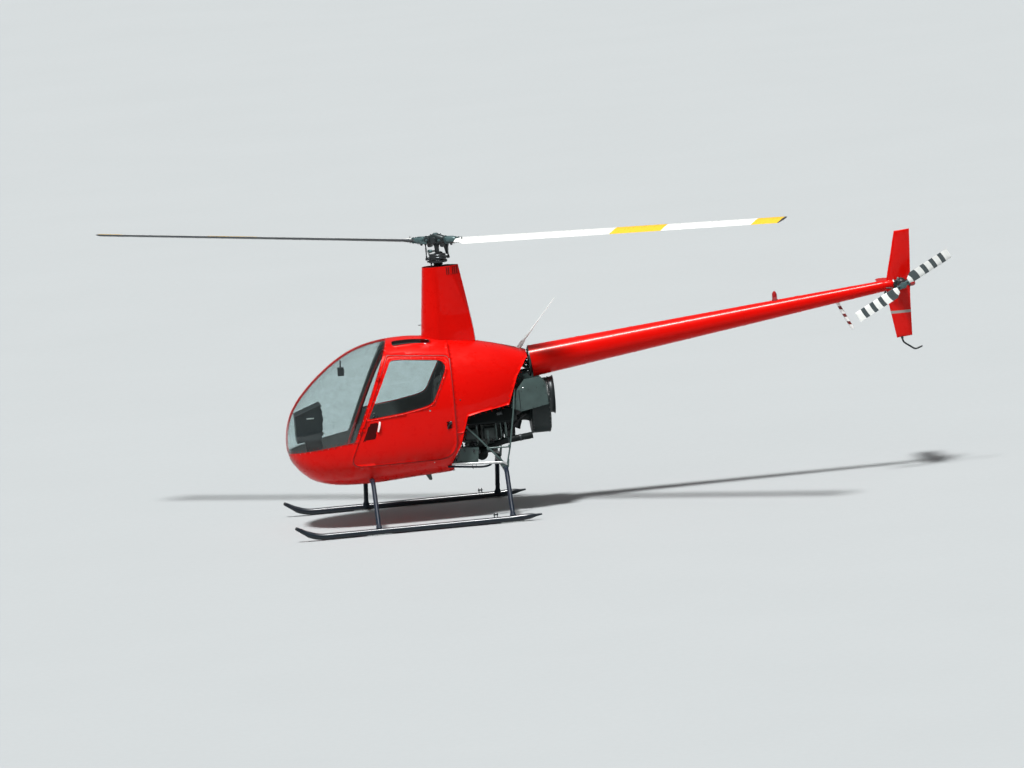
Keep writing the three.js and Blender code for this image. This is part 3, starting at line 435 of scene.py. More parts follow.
# Dark red for the mast fairing's vent slots and the floor under its top: painted shade in the hollows.
FAIRING_SLOT_SHADE = finish("fairing_slot_painted_shade", (0.12, 0.004, 0.003), 0.6, cloud=(12.0, 0.15), specular=0.2)
# Near-black red for the door's handle recess and the air vent's opening: painted shade.
DOOR_HOLLOW_SHADE = finish("door_hollow_painted_shade", (0.04, 0.002, 0.002), 0.65, cloud=(12.0, 0.15), specular=0.1)
SEAL = finish("seal_red", (0.26, 0.004, 0.003), 0.55, cloud=(12.0, 0.1))
# Near white for the open vent flap: a painted reflection of the light off its edge.
FLAP_GLINT = finish("flap_painted_glint", (0.8, 0.74, 0.72), 0.2, coat=0.6, cloud=(12.0, 0.05))
SEAM_LINE = finish("seam_line", (0.1, 0.003, 0.002), 0.7, cloud=(30.0, 0.2))
LAMP = finish("lamp_lens", (0.62, 0.64, 0.64), 0.08, metal=0.7, coat=1.0, cloud=(60.0, 0.12))
DIAL_FACE = finish("dial_face", (0.012, 0.012, 0.013), 0.25, coat=1.0, cloud=(60.0, 0.2))
LIGHT_MARK = finish("light_mark", (0.6, 0.6, 0.57), 0.5, cloud=(60.0, 0.08))
GLASS = glass("clear_pane", (0.88, 0.93, 0.93))
TINTED = glass("tinted_pane", (0.18, 0.22, 0.25))
CLOTH = fabric("seat_cloth", (0.16, 0.155, 0.14), (0.06, 0.058, 0.052))
WEBBING = fabric("webbing", (0.1, 0.105, 0.11), (0.03, 0.03, 0.033), 1400.0)


# Fuselage form: x, top, bottom, half width, height where it is widest. The nose comes to a point.

STATIONS = np.array((
    (-1600, 825, 825, 0, 825),
    (-1588, 955, 728, 130, 828),
    (-1550, 1085, 642, 212, 835),
    (-1480, 1208, 552, 300, 845),
    (-1380, 1326, 474, 378, 860),
    (-1240, 1458, 424, 444, 885),
    (-1090, 1572, 402, 490, 905),
    (-910, 1672, 396, 526, 925),
    (-690, 1736, 402, 550, 945),
    (-500, 1755, 416, 560, 955),
    (-300, 1753, 428, 560, 965),
    (-100, 1724, 438, 551, 980),
    (100, 1686, 460, 530, 1000),
    (300, 1652, 500, 487, 1030),
    (500, 1604, 560, 414, 1080),
    (650, 1562, 620, 342, 1130),
    (760, 1528, 680, 280, 1170),
), float)
NOSE = STATIONS[0, 0]
UPPER, LOWER = 2.35, 3.2
KNOTS = np.sqrt(STATIONS[:, 0] - NOSE)
SLOPES = np.gradient(STATIONS[:, 1:], KNOTS, axis=0)
# Millimetres of skin for one unit of each panel coordinate, so that triangles come out even
ALONG, ROUND = 60.0, 500.0


def section(u):
    """Top, bottom, half width and widest height where x is the nose plus u squared."""
    k = np.clip(np.searchsorted(KNOTS, u) - 1, 0, len(KNOTS) - 2)
    gap = KNOTS[k + 1] - KNOTS[k]
    t = ((u - KNOTS[k]) / gap)[..., None]
    a, b = STATIONS[k, 1:], STATIONS[k + 1, 1:]
    da, db = SLOPES[k] * gap[..., None], SLOPES[k + 1] * gap[..., None]
    value = ((2 * t ** 3 - 3 * t * t + 1) * a + (t ** 3 - 2 * t * t + t) * da
             + (3 * t * t - 2 * t ** 3) * b + (t ** 3 - t * t) * db)
    return np.moveaxis(value, -1, 0)


def skin_point(u, phi):
    top, bottom, half, widest = section(u)
    c, s = np.cos(phi), np.sin(phi)
    power = np.where(s > 0, UPPER, LOWER)
    reach = (np.abs(c) ** power + np.abs(s) ** power) ** (-1 / power)
    height = np.where(s > 0, top - widest, widest - bottom)
    return np.stack([NOSE + u * u, half * reach * c, widest + height * reach * s], -1)


def skin(u, phi):
    """Points of the outer skin, with their outward normals and the two ways along it."""
    u, phi = np.atleast_1d(np.asarray(u, float)), np.atleast_1d(np.asarray(phi, float))
    u = np.maximum(u, 0.05)
    along = (skin_point(u + 1e-3, phi) - skin_point(u - 1e-3, phi)) / 2e-3
    round_ = (skin_point(u, phi + 1e-3) - skin_point(u, phi - 1e-3)) / 2e-3
    return skin_point(u, phi), unit(np.cross(round_, along)), along / ALONG, round_ / ROUND


def side_reach(x, z):
    """Panel coordinates of a side-view point on the starboard skin, and its distance from the middle."""
    u = np.sqrt(np.maximum(np.asarray(x, float) - NOSE, 1e-4))
    top, bottom, half, widest = section(u)
    power = np.where(z > widest, UPPER, LOWER)
    height = np.where(z > widest, top - widest, widest - bottom)
    v = np.clip((z - widest) / np.maximum(height, 1e-6), -1, 1)
    w = (1 - np.abs(v) ** power) ** (1 / power)
    return u, np.arctan2(v, w), np.where(x > NOSE, half * w, 0.0)


def side_line(rows, least=0.0, closed=False):
    """A side-view line on the starboard skin, cut where it comes nearer to the middle than least."""
    dense = outline(rows, closed)
    u, phi, reach = side_reach(dense[:, 0], dense[:, 1])
    inside = reach > least + 1e-6
    if inside.all():
        return np.stack([u, phi], -1)
    keep = np.flatnonzero(inside)
    first, last = keep[0], keep[-1]
    made = list(np.stack([u, phi], -1)[first:last + 1])
    for edge, outer in ((first, first - 1), (last, last + 1)):
        if not 0 <= outer < len(dense):
            continue
        a, b = dense[edge], dense[outer]
        for _ in range(24):
            middle = (a + b) / 2
            if side_reach(*middle)[2] > least:
                a = middle
            else:
                b = middle
        cut = side_reach(*a)[:2]
        if outer < edge:
            made.insert(0, np.array(cut))
        else:
            made.append(np.array(cut))
    return np.array(made, float)


def plan_line(rows):
    """A closed outline in plan view, of (x, y, corner radius), on the top of the skin."""
    dense = outline(rows)
    u = np.sqrt(dense[:, 0] - NOSE)
    return np.stack([u, skin_angle(dense[:, 1] / section(u)[2], UPPER)], -1)


def skin_angle(w, power):
    """The angle round the skin at a share w of its half width."""
    return np.arctan2((1 - np.abs(w) ** power) ** (1 / power), w)


def steady(run, distance, upper):
    """Panel coordinates along the skin at a steady distance from the middle, over the nose or under it."""
    angle = skin_angle(np.clip(distance / section(run)[2], 0, 1), UPPER if upper else LOWER)
    return np.stack([run, angle if upper else -angle], -1)


def roof_height(x, y):
    """Height of the top of the skin over a point in plan."""
    top, _, half, widest = section(np.sqrt(np.array([x - NOSE])))[:, 0]
    return widest + (top - widest) * (1 - (abs(y) / half) ** UPPER) ** (1 / UPPER)


def port(line, below=False):
    """The same line on the port side, reached over the roof or under the belly."""
    return np.stack([line[:, 0], (-math.pi if below else math.pi) - line[:, 1]], -1)[::-1]


def on_side(line, side):
    return line if side > 0 else port(line)


def within(points, loop):
    """Which points lie inside a closed loop."""
    x, y = points[:, :1], points[:, 1:]
    ax, ay = loop[:, 0], loop[:, 1]
    bx, by = np.roll(ax, -1), np.roll(ay, -1)
    cross = (ay > y) != (by > y)
    with np.errstate(divide="ignore", invalid="ignore"):
        at = (bx - ax) * (y - ay) / (by - ay) + ax
    return (np.sum(cross & (x < at), axis=1) % 2) == 1


def loop_frame(loop, outward):
    """For each point of a loop: place, normal, the way off the panel and its panel coordinates."""
    place, normal, along, round_ = skin(loop[:, 0] / ALONG, loop[:, 1] / ROUND)
    tangent = unit(np.roll(place, -1, 0) - place) + unit(place - np.roll(place, 1, 0))
    tangent = unit(tangent - normal * np.sum(tangent * normal, 1)[:, None])
    off = unit(np.cross(tangent, normal)) * outward
    square = np.stack([np.stack([np.sum(a * b, 1) for b in (along, round_)], -1) for a in (along, round_)],
                      1)
    parts = np.stack([np.sum(along * off, 1), np.sum(round_ * off, 1)], -1)
    shift = np.linalg.solve(square, parts[..., None])
    return place, normal, off, shift[..., 0]


def turning(loop):
    x, y = loop[:, 0], loop[:, 1]
    return np.sign(np.sum(x * np.roll(y, -1) - np.roll(x, -1) * y))


def spaced(loop, least=3.0):
    """The loop in millimetres of skin, without points that nearly coincide."""
    loop = loop * (ALONG, ROUND)
    keep = [loop[0]]
    for p in loop[1:]:
        if np.linalg.norm(p - keep[-1]) > least:
            keep.append(p)
    if np.linalg.norm(keep[0] - keep[-1]) <= least:
        keep.pop()
    return np.array(keep)


# Edge rings of a panel: distance in from the edge, depth below the skin, tilt of the normal in degrees
EDGE = ((0.0, 1.5, 55.0), (2.2, 0.2, 14.0), (6.0, 0.0, 0.0))


def panel(form, outer, holes=(), thick=30.0, grid=24.0, inner_mark=1, raised=0.0):
    """A panel of the skin between loops of panel coordinates, with round edges and an inner face."""
    loops = [spaced(outer)] + [spaced(h) for h in holes]
    coords, drop, tilt, out_way, edges, rims = [], [], [], [], [], []
    for k, loop in enumerate(loops):
        outward = turning(loop) * (1 if k == 0 else -1)
        place, normal, off, shift = loop_frame(loop, outward)
        for inset, depth, lean in EDGE:
            start = len(coords)
            coords.extend(loop - shift * inset)
            drop.extend([depth] * len(loop))
            tilt.extend([lean] * len(loop))
            out_way.extend(off)
            edges.extend((start + i, start + (i + 1) % len(loop)) for i in range(len(loop)))
            if inset == 0:
                rims.append((start, len(loop)))
    low, high = loops[0].min(0), loops[0].max(0)
    xs, ys = np.arange(low[0], high[0], grid), np.arange(low[1], high[1], grid * 0.866)
    mesh = np.array([(x + (grid / 2 if j % 2 else 0), y) for j, y in enumerate(ys) for x in xs])
    inside = within(mesh, loops[0])
    for hole in loops[1:]:
        inside &= ~within(mesh, hole)
    mesh = mesh[inside]
    rim_points = np.array(coords)
    near = np.array([np.min(np.sum((rim_points - p) ** 2, 1)) for p in mesh]) if len(mesh) else np.zeros(0)
    mesh = mesh[near > (grid * 0.45) ** 2]
    coords.extend(mesh)
    extra = len(mesh)
    drop.extend([0.0] * extra)
    tilt.extend([0.0] * extra)
    out_way.extend([(0, 0, 0)] * extra)
    verts, _, faces, origin, _, _ = delaunay_2d_cdt([Vector(c) for c in coords], edges, [], 1, 1e-4)
    source = np.array([o[0] if o else -1 for o in origin])
    flat = np.array([tuple(v) for v in verts])
    drop, tilt, out_way = (np.array(a, float)[source] for a in (drop, tilt, out_way))
    drop[source < 0], tilt[source < 0] = 0, 0
    place, normal, _, _ = skin(flat[:, 0] / ALONG, flat[:, 1] / ROUND)
    tilt = np.radians(tilt)[:, None]
    outer_normal = unit(normal * np.cos(tilt) + out_way * np.sin(tilt))
    outer_place = place + normal * (raised - drop[:, None])
    inner_place = place - normal * thick
    centres = np.array([flat[list(f)].mean(0) for f in faces])
    keep = within(centres, loops[0])
    for hole in loops[1:]:
        keep &= ~within(centres, hole)
    kept = [f if np.cross(flat[f[1]] - flat[f[0]], flat[f[2]] - flat[f[0]]) < 0 else f[::-1]
            for f, k in zip(faces, keep) if k]
    form.add(outer_place, kept, 0, [[tuple(outer_normal[i]) for i in f] for f in kept])
    form.add(inner_place, [f[::-1] for f in kept], inner_mark,
             [[tuple(-normal[i]) for i in f[::-1]] for f in kept])
    at = {s: i for i, s in enumerate(source) if s >= 0}
    for start, count in rims:
        for i in range(count):
            a, b = at.get(start + i), at.get(start + (i + 1) % count)
            if a is None or b is None or a == b:
                continue
            corners = np.array([outer_place[a], outer_place[b], inner_place[b], inner_place[a]])
            normals = [tuple(out_way[k]) for k in (a, b, b, a)]
            order = (0, 1, 2, 3)
            if np.cross(corners[1] - corners[0], corners[3] - corners[0]) @ out_way[a] < 0:
                order = (3, 2, 1, 0)
            form.add(corners, [order], inner_mark, [[normals[k] for k in order]])
    return form


def studs(form, loop, inset, spacing, radius=3.0, mark=0, height=1.4):
    """Small round heads along a line set in from a loop's edge."""
    loop = spaced(loop)
    _, _, _, shift = loop_frame(loop, turning(loop))
    line = loop - shift * inset
    place = skin(line[:, 0] / ALONG, line[:, 1] / ROUND)[0]
    length = run_length(np.vstack([place, place[:1]]))
    ends = np.vstack([line, line[:1]])
    count = int(length[-1] / spacing)
    at = (np.arange(count) + 0.5) * length[-1] / count
    spots = sampled(at, length, ends)
    place, normal, _, _ = skin(spots[:, 0] / ALONG, spots[:, 1] / ROUND)
    for p, n in zip(place, normal):
        form.turned(p - n, p + n, ((0, radius), (1 + height * 0.5, radius * 0.85),
                                   (1 + height, radius * 0.35)), 8, mark)
    return form


# Edges of the panels in side view, as in part.mjs

SILL = 846.0
PILLAR_FOOT, PILLAR_HEAD = (-971.0, SILL), (-575.0, 1752.0)
ROOF_EDGE, CABIN_END, ABOVE = 1637.0, 6.5, 1900.0
FRONT_GAP, HINGE_OFFSET = 7.5, 20.0
HINGE_FOOT, HINGE_HEAD = (-894.0, 965.0), (-688.0, 1434.5)
# How far the lower and the upper hinge stand off the skin
HINGE_PROUD = (10.0, 16.0)
SEAM = 0.6


def pillar_x(z):
    lean = (PILLAR_HEAD[0] - PILLAR_FOOT[0]) / (PILLAR_HEAD[1] - PILLAR_FOOT[1])
    return PILLAR_FOOT[0] + (z - PILLAR_FOOT[1]) * lean


def hinge_x(z):
    lean = (HINGE_HEAD[0] - HINGE_FOOT[0]) / (HINGE_HEAD[1] - HINGE_FOOT[1])
    return HINGE_FOOT[0] + (z - HINGE_FOOT[1]) * lean


def door_front(z, gap=0.0):
    return hinge_x(z) + HINGE_OFFSET - gap


DOOR = ((door_front(1625), 1625, 24), (-2, 1572, 60), (-2, 610, 200), (door_front(610), 610, 130))
WINDOW = ((-840, 1046, 30), (-487, 1084), (-301, 1117), (-192, 1146, 60), (-36, 1466, 40), (-38, 1550, 84),
          (-443, 1592, 60), (-568, 1592, 36))


def window_rows(shrink):
    centre = np.mean([row[:2] for row in WINDOW], 0)
    rows = []
    for row in WINDOW:
        way = unit(np.array(row[:2]) - centre)
        rows.append((row[0] - way[0] * shrink, row[1] - way[1] * shrink, *row[2:]))
    return rows


def cabin():
    """Tub, pillars, roof, doors, cowl, windshield and bow."""
    gap = FRONT_GAP
    tub_line = side_line([(-1750, 728), PILLAR_FOOT, (door_front(SILL, gap), SILL),
                          (door_front(602, gap), 602, 130), (CABIN_END, 602, 200), (CABIN_END, SILL),
                          (77, SILL), (38, 726), (-50, 568), (-40, 500), (-40, 250)])
    tub_loop = np.vstack([tub_line, port(tub_line, below=True)])
    leg = [(-835 + 23 * math.cos(a), 452 + 23 * math.sin(a)) for a in np.linspace(0, 2 * math.pi, 18)[:-1]]
    leg_hole = np.stack(side_reach(*np.array(leg).T)[:2], -1)
    tub = panel(Form(), tub_loop, (leg_hole, port(leg_hole, below=True)))
    studs(tub, tub_loop, 14, 46)
    shown(tub, "cabin_tub_skin", [PAINT, TRIM], "airframe", ["cabin_tub"])

    roof_line = side_line([(pillar_x(ABOVE) + SEAM, ABOVE), (pillar_x(ROOF_EDGE), ROOF_EDGE + SEAM),
                           (door_front(1633, gap), 1633.5), (-50, 1586), (-20, 1577), (-3, 1553),
                           (CABIN_END, 1553), (CABIN_END, ABOVE)])
    roof_loop = np.vstack([roof_line, port(roof_line)])
    roof_windows = [plan_line([(x, side * y, 30) for x, y in ((-522, 150), (-160, 138), (-160, 222),
                                                              (-522, 245))]) for _, side in SIDES]
    roof = panel(Form(), roof_loop, roof_windows)
    studs(roof, roof_loop, 14, 52)
    shown(roof, "cabin_roof_skin", [PAINT, TRIM], "airframe", ["cabin_roof"])

    cowl_line = side_line([(CABIN_END + SEAM, ABOVE), (CABIN_END + SEAM, SILL + SEAM), (77, SILL + SEAM),
                           (125, 994), (247, 1020), (535, 1057), (640, 1315), (748, 1465), (760, 1465),
                           (760, ABOVE)])
    cowl_loop = np.vstack([cowl_line, port(cowl_line)])
    # The cowl's inner faces and cut edges take the near-black painted shade of the engine bay.
    cowl = panel(Form(), cowl_loop)
    studs(cowl, cowl_loop, 16, 60)
    shown(cowl, "engine_cowl_skin", [PAINT, NEAR_BLACK_SHADE], "airframe", ["engine_cowl"])

    bow_half = 14.6
    screen_line = side_line([(pillar_x(ABOVE) - SEAM, ABOVE), (PILLAR_FOOT[0] - SEAM, SILL + SEAM),
                             (-1750, 728 + SEAM)], least=bow_half)
    ends = screen_line[0, 0], screen_line[-1, 0]
    tip = np.interp(bow_half, section(np.linspace(0, 3, 200))[2], np.linspace(0, 3, 200))
    path = []
    for sense, end in ((-1, ends[1]), (1, ends[0])):
        reach = tip + (end - tip) * np.linspace(0, 1, 70) ** 1.4
        path.extend(steady(reach[::-1] if sense < 0 else reach[1:], bow_half, sense > 0))
    screen_loop = np.vstack([screen_line, np.array(path)[1:-1]])
    for name, side in SIDES:
        loop = on_side(screen_loop, side)
        pane = panel(Form(), loop, thick=6, inner_mark=0)
        studs(pane, loop, 11, 62, 3.4, 1)
        shown(pane, f"windshield_{name}_pane", [GLASS, STEEL], "airframe",
              [f"windshield_{name}"])
    shown(bow_strip(14.0, ends), "windshield_bow_strip", [PAINT, TRIM], "airframe",
          ["windshield_bow"])

    for name, side in SIDES:
        pillar_loop = side_line([(pillar_x(SILL) + SEAM, SILL + SEAM), (door_front(SILL, gap), SILL + SEAM),
                                 (door_front(1619, gap), 1619), (door_front(1632, gap) + 5, 1633),
                                 (pillar_x(1636) + SEAM, 1636)], closed=True)
        pillar = panel(Form(), on_side(pillar_loop, side), grid=16)
        hinge_forks(pillar, side)
        shown(pillar, f"pillar_{name}_skin", [PAINT, TRIM], "airframe", [f"pillar_{name}"])
        door_loop = on_side(side_line(grown(DOOR, 3), closed=True), side)
        door = panel(Form(), door_loop, [on_side(side_line(WINDOW, closed=True), side)])
        studs(door, door_loop, 13, 58, 2.6)
        hinge_leaves(door, side)
        shown(door, f"door_{name}_skin", [PAINT, TRIM, PLASTIC], f"door_{name}",
              [f"door_{name}"])
        pane_loop = on_side(side_line(window_rows(1.0), closed=True), side)
        pane = panel(Form(), pane_loop, thick=6, inner_mark=0)
        studs(pane, pane_loop, 9, 58, 3.0, 1)
        shown(pane, f"door_window_{name}_pane", [GLASS, STEEL], f"door_{name}",
              [f"door_window_{name}"])
        roof_pane = panel(Form(),
                          plan_line([(x, side * y, 30)
                                     for x, y in ((-521, 151), (-161, 139), (-161, 221), (-521, 244))]),
                          thick=6, inner_mark=0)
        shown(roof_pane, f"roof_window_{name}_pane", [TINTED], "airframe",
              [f"roof_window_{name}"])


def bow_strip(half_width, ends):
    """The strip over the nose between the windshield halves: lines at steady distances from the middle."""
    depth = 18.0
    rows = []
    for y in np.linspace(-half_width, half_width, 7):
        c = max(abs(y), 0.5)
        tip = np.interp(c, section(np.linspace(0, 3, 300))[2], np.linspace(0, 3, 300))
        line = []
        for sense, end in ((1, ends[0]), (-1, ends[1])):
            part = steady(tip + (end - tip) * np.linspace(0, 1, 80) ** 1.5, c, sense > 0)
            line.extend(part[::-1] if sense > 0 else part[1:])
        line = np.array(line)
        if y < 0:
            line[:, 1] = math.pi - line[:, 1]
        place, normal, _, _ = skin(line[:, 0], line[:, 1])
        length = run_length(place)
        at = np.linspace(0, length[-1], 90)
        rows.append([sampled(at, length, part) for part in (place, normal)])
    rings = []
    for k in range(90):
        outer = [row[0][k] + row[1][k] * 1.2 for row in rows]
        inner = [row[0][k] - row[1][k] * depth for row in rows[::-1]]
        rings.append(outer + inner)
    return Form().loft(rings)


def hinge_frame(side, k):
    """A hinge's middle, its axis and its aft way, on one side."""
    ends = []
    for (x, z), lift in zip((HINGE_FOOT, HINGE_HEAD), HINGE_PROUD):
        ends.append(np.array((x, float(side_reach(np.array([x]), np.array([z]))[2][0]) + lift, z)))
    ends = [e * (1, side, 1) for e in ends]
    axis = unit(ends[1] - ends[0])
    aft = unit(np.cross(axis, (0, side, 0)) * side)
    if aft[0] < 0:
        aft = -aft
    return ends[k], axis, aft


def hinge_forks(form, side):
    for k in (0, 1):
        p, axis, aft = hinge_frame(side, k)
        for low, high in ((-25, -13.2), (13.2, 25)):
            form.turned(p + axis * low, p + axis * high,
                        ((0, 6.2), (0.8, 7), (high - low - 0.8, 7), (high - low, 6.2)), 16)
            plate(form, p, axis, aft, side, low, high, -20, 0, 7)


def hinge_leaves(form, side):
    for k in (0, 1):
        p, axis, aft = hinge_frame(side, k)
        form.turned(p - axis * 12, p + axis * 12, ((0, 6.2), (0.8, 7), (23.2, 7), (24, 6.2)), 16)
        plate(form, p, axis, aft, side, -12, 12, 0, 36, 7)


def plate(form, p, axis, aft, side, low, high, start, end, depth):
    """A flat leaf beside a hinge pin."""
    inward = np.array((0, -side, 0.0))
    rings = [[p + axis * z + aft * start + inward * y, p + axis * z + aft * end + inward * y * 1.6]
             for z, y in ((low, 0), (high, 0), (high, depth), (low, depth))]
    form.loft(np.array(rings).transpose(1, 0, 2))


# Tail

BOOM_SLOPE = 0.1159
BOOM_START, BOOM_END, NECK_END = 800.0, 4235.0, 4344.0
BOOM_ROWS = ((0, 152), (0.21, 131), (0.65, 90), (1, 53))


def boom_axis(x):
    return 1409 + (x - 821) * BOOM_SLOPE


def boom_radius(x):
    share = (x - BOOM_START) / (BOOM_END - BOOM_START)
    return np.interp(share, *np.array(BOOM_ROWS, float).T)


def boom_point(x):
    return np.array((x, 0, boom_axis(x)))


def boom_ring(x, grow=0.0, sides=64):
    lean = math.atan(BOOM_SLOPE)
    turn = np.arange(sides) * 2 * math.pi / sides
    r = boom_radius(x) + grow
    across, up = np.array((0, 1.0, 0)), np.array((-math.sin(lean), 0, math.cos(lean)))
    around = np.outer(np.cos(turn), across) + np.outer(np.sin(turn), up)
    return np.array((x, 0, boom_axis(x))) + r * around


def tail_boom():
    form = Form()
    rings = [boom_ring(x) for x in np.linspace(BOOM_START, BOOM_END, 60)]
    form.loft([*rings, boom_ring(BOOM_END, -12)], caps=False)
    # The boom's inside, its front end face and the end cap take the dark metal: painted shade.
    form.loft([boom_ring(BOOM_END, -12), boom_ring(BOOM_START, -12), boom_ring(BOOM_START)], 1, caps=False)
    form.add(boom_ring(BOOM_END, -12), [tuple(range(64))], 1)
    seams = [BOOM_START + 6, 1290, 1800, 2330, 2870, 3410, 3930, BOOM_END - 8]
    for x in seams:
        strip = [(max(x - 7, BOOM_START), 1.1), (min(x + 7, BOOM_END), 1.1)]
        if BOOM_START < x - 16 and x + 16 < BOOM_END:
            strip = [(x - 16, 0.05), (x - 15, 1.1), (x + 15, 1.1), (x + 16, 0.05)]
        form.loft([boom_ring(*row) for row in strip], caps=False)
        for row in (-9, 9):
            at = min(max(x + row, BOOM_START + 3), BOOM_END - 3)
            ring = boom_ring(at, 1.1, max(16, int(boom_radius(at) / 3)))
            centre = np.array((at, 0, boom_axis(at)))
            for p in ring:
                n = unit(p - centre)
                form.turned(p - n, p + n, ((0, 2.6), (1.6, 2.2), (2.1, 0.8)), 6)
    neck, end = boom_point(BOOM_END - 12), boom_point(NECK_END)
    length = float(np.linalg.norm(end - neck))
    form.turned(neck, end, ((0, 50), (6, 53.5), (60, 50), (length - 6, 44), (length, 41)), 48)
    form.turned(end - unit(end - neck) * 5, end + unit(end - neck) * 5,
                ((0, 44.5), (1, 46.5), (9, 46.5), (10, 44)), 48, 2)
    shown(form, "tail_boom_skin", [PAINT_BOOM, DARK, CAST], "airframe",
          ["tail_boom"], angle=40)


def section_loop(count, thickness):
    t = 0.5 * (1 - np.cos(math.pi * np.arange(count + 1) / count))
    h = 5 * thickness * (0.2969 * np.sqrt(t) - 0.126 * t - 0.3516 * t ** 2
                         + 0.2843 * t ** 3 - 0.1015 * t ** 4)
    return [*zip(t, h), *zip(t[:0:-1], -h[:0:-1])]


FIN_SHIFT = 20
FIN_ROWS = tuple((z, lead + FIN_SHIFT, trail + FIN_SHIFT) for z, lead, trail in (
    (1296, 4314, 4463), (1700, 4250, 4474), (1860, 4253, 4488), (2320, 4365, 4514)))


def tail_surfaces():
    fin = Form()
    heights = np.concatenate([[1296, 1299, 1306], np.linspace(1330, 2290, 26), [2310, 2317, 2320]])
    tips = np.minimum(heights - 1296, 2320 - heights)
    rings = []
    for z, tip in zip(heights, tips):
        lead, trail = (np.interp(z, [r[0] for r in FIN_ROWS], [r[k] for r in FIN_ROWS]) for k in (1, 2))
        full = math.sqrt(1 - (1 - min(tip / 12, 1)) ** 2) * 0.85 + 0.15
        slant = np.interp(z, (1296, 1400, 2200, 2320), (14, 0, 0, 10))
        rings.append([(lead + (trail - lead) * t, h * (trail - lead) * full, z + 6 * (z > 2200) + slant * t)
                      for t, h in section_loop(16, 0.13)])
    fin.loft(rings)
    shown(fin, "tail_fin_skin", [fin_paint()], "airframe", ["tail_fin"], angle=50)
    stabilizer = Form()
    rings = []
    for y in np.concatenate([[58], np.linspace(80, 620, 12), [632, 638, 640]]):
        share = (y - 16) / 624
        lead, trail, z = 4196 + 40 * share, 4440 - 10 * share, 1812 - 8 * share
        full = math.sqrt(1 - (1 - min((640 - y) / 14, 1)) ** 2) * 0.8 + 0.2
        rings.append([(lead + (trail - lead) * t, y, z + h * (trail - lead) * full)
                      for t, h in section_loop(16, 0.12)])
    stabilizer.loft(rings)
    shown(stabilizer, "stabilizer_skin", [PAINT_MOULDED], "airframe",
          ["stabilizer"], angle=50)


# The fin's grey band, in metres
BAND_HEIGHT, BAND_HALF = 1.545, 0.013


def fin_paint():
    """The fin's red with its pale grey band."""
    material = finish("red_fin", shade(RED, 0.96), 0.33, coat=0.3, cloud=(2.4, 0.06),
                      grain=(170.0, 0.00012), specular=0.3, glint=GLINT)
    band = add(material.node_tree, "Math", {0: height_in(material), 1: BAND_HEIGHT, 2: BAND_HALF},
               operation="COMPARE")
    return paint_over(material, band.outputs[0], (0.3, 0.29, 0.27))


# Rotors

HUB = np.array((0.0, 0.0, 2650.0))
ROTOR_TURN = math.radians(-35)
CONING = math.radians(2)
ROTOR_RADIUS, PITCH_AXIS = 3835.0, 0.27
TAIL_RADIUS = 533.0
BLADE_ROWS = np.array(((233, 96, 0.4), (290, 100, 0.38), (370, 183, 0.14), (900, 183, 0.12),
                       (3835, 183, 0.12)))
TAIL_HUB = np.array((4409.0, -250.0, 1824.0))
TAIL_TURN = math.radians(27.7)


def turn_about(axis, angle, centre=(0, 0, 0)):
    axis = unit(axis)
    c, s = math.cos(angle), math.sin(angle)
    cross = np.array(((0, -axis[2], axis[1]), (axis[2], 0, -axis[0]), (-axis[1], axis[0], 0)))
    matrix = np.eye(4)
    matrix[:3, :3] = c * np.eye(3) + s * cross + (1 - c) * np.outer(axis, axis)
    matrix[:3, 3] = np.asarray(centre, float)
    return matrix


def blade_rings(spans, rows, pitch, tip_round):
    """Wing sections along +X, one ring for each span."""
    rings = []
    tip = spans[-1]
    for r in spans:
        chord, thick = (np.interp(r, rows[:, 0], rows[:, k]) for k in (1, 2))
        full = math.sqrt(max(1 - (1 - min((tip - r) / tip_round, 1)) ** 2, 0)) * 0.7 + 0.3
        angle = pitch(r)
        ring = []
        for t, h in section_loop(14, thick):
            forward, up = (PITCH_AXIS - t) * chord, h * chord * full
            ring.append((r, forward * math.cos(angle) - up * math.sin(angle),
                         forward * math.sin(angle) + up * math.cos(angle)))
        rings.append(ring)
    return rings


def stored_span(piece, centre, radius):
    """Stores each point's distance from the rotor's axis, as a share of the radius."""
    mesh = piece.data
    points = np.array([v.co for v in mesh.vertices]) * 1000 - MAST - np.asarray(centre)
    values = mesh.attributes.new("span", "FLOAT", "POINT")
    values.data.foreach_set("value", (np.linalg.norm(points, axis=1) / radius).astype(np.float32))


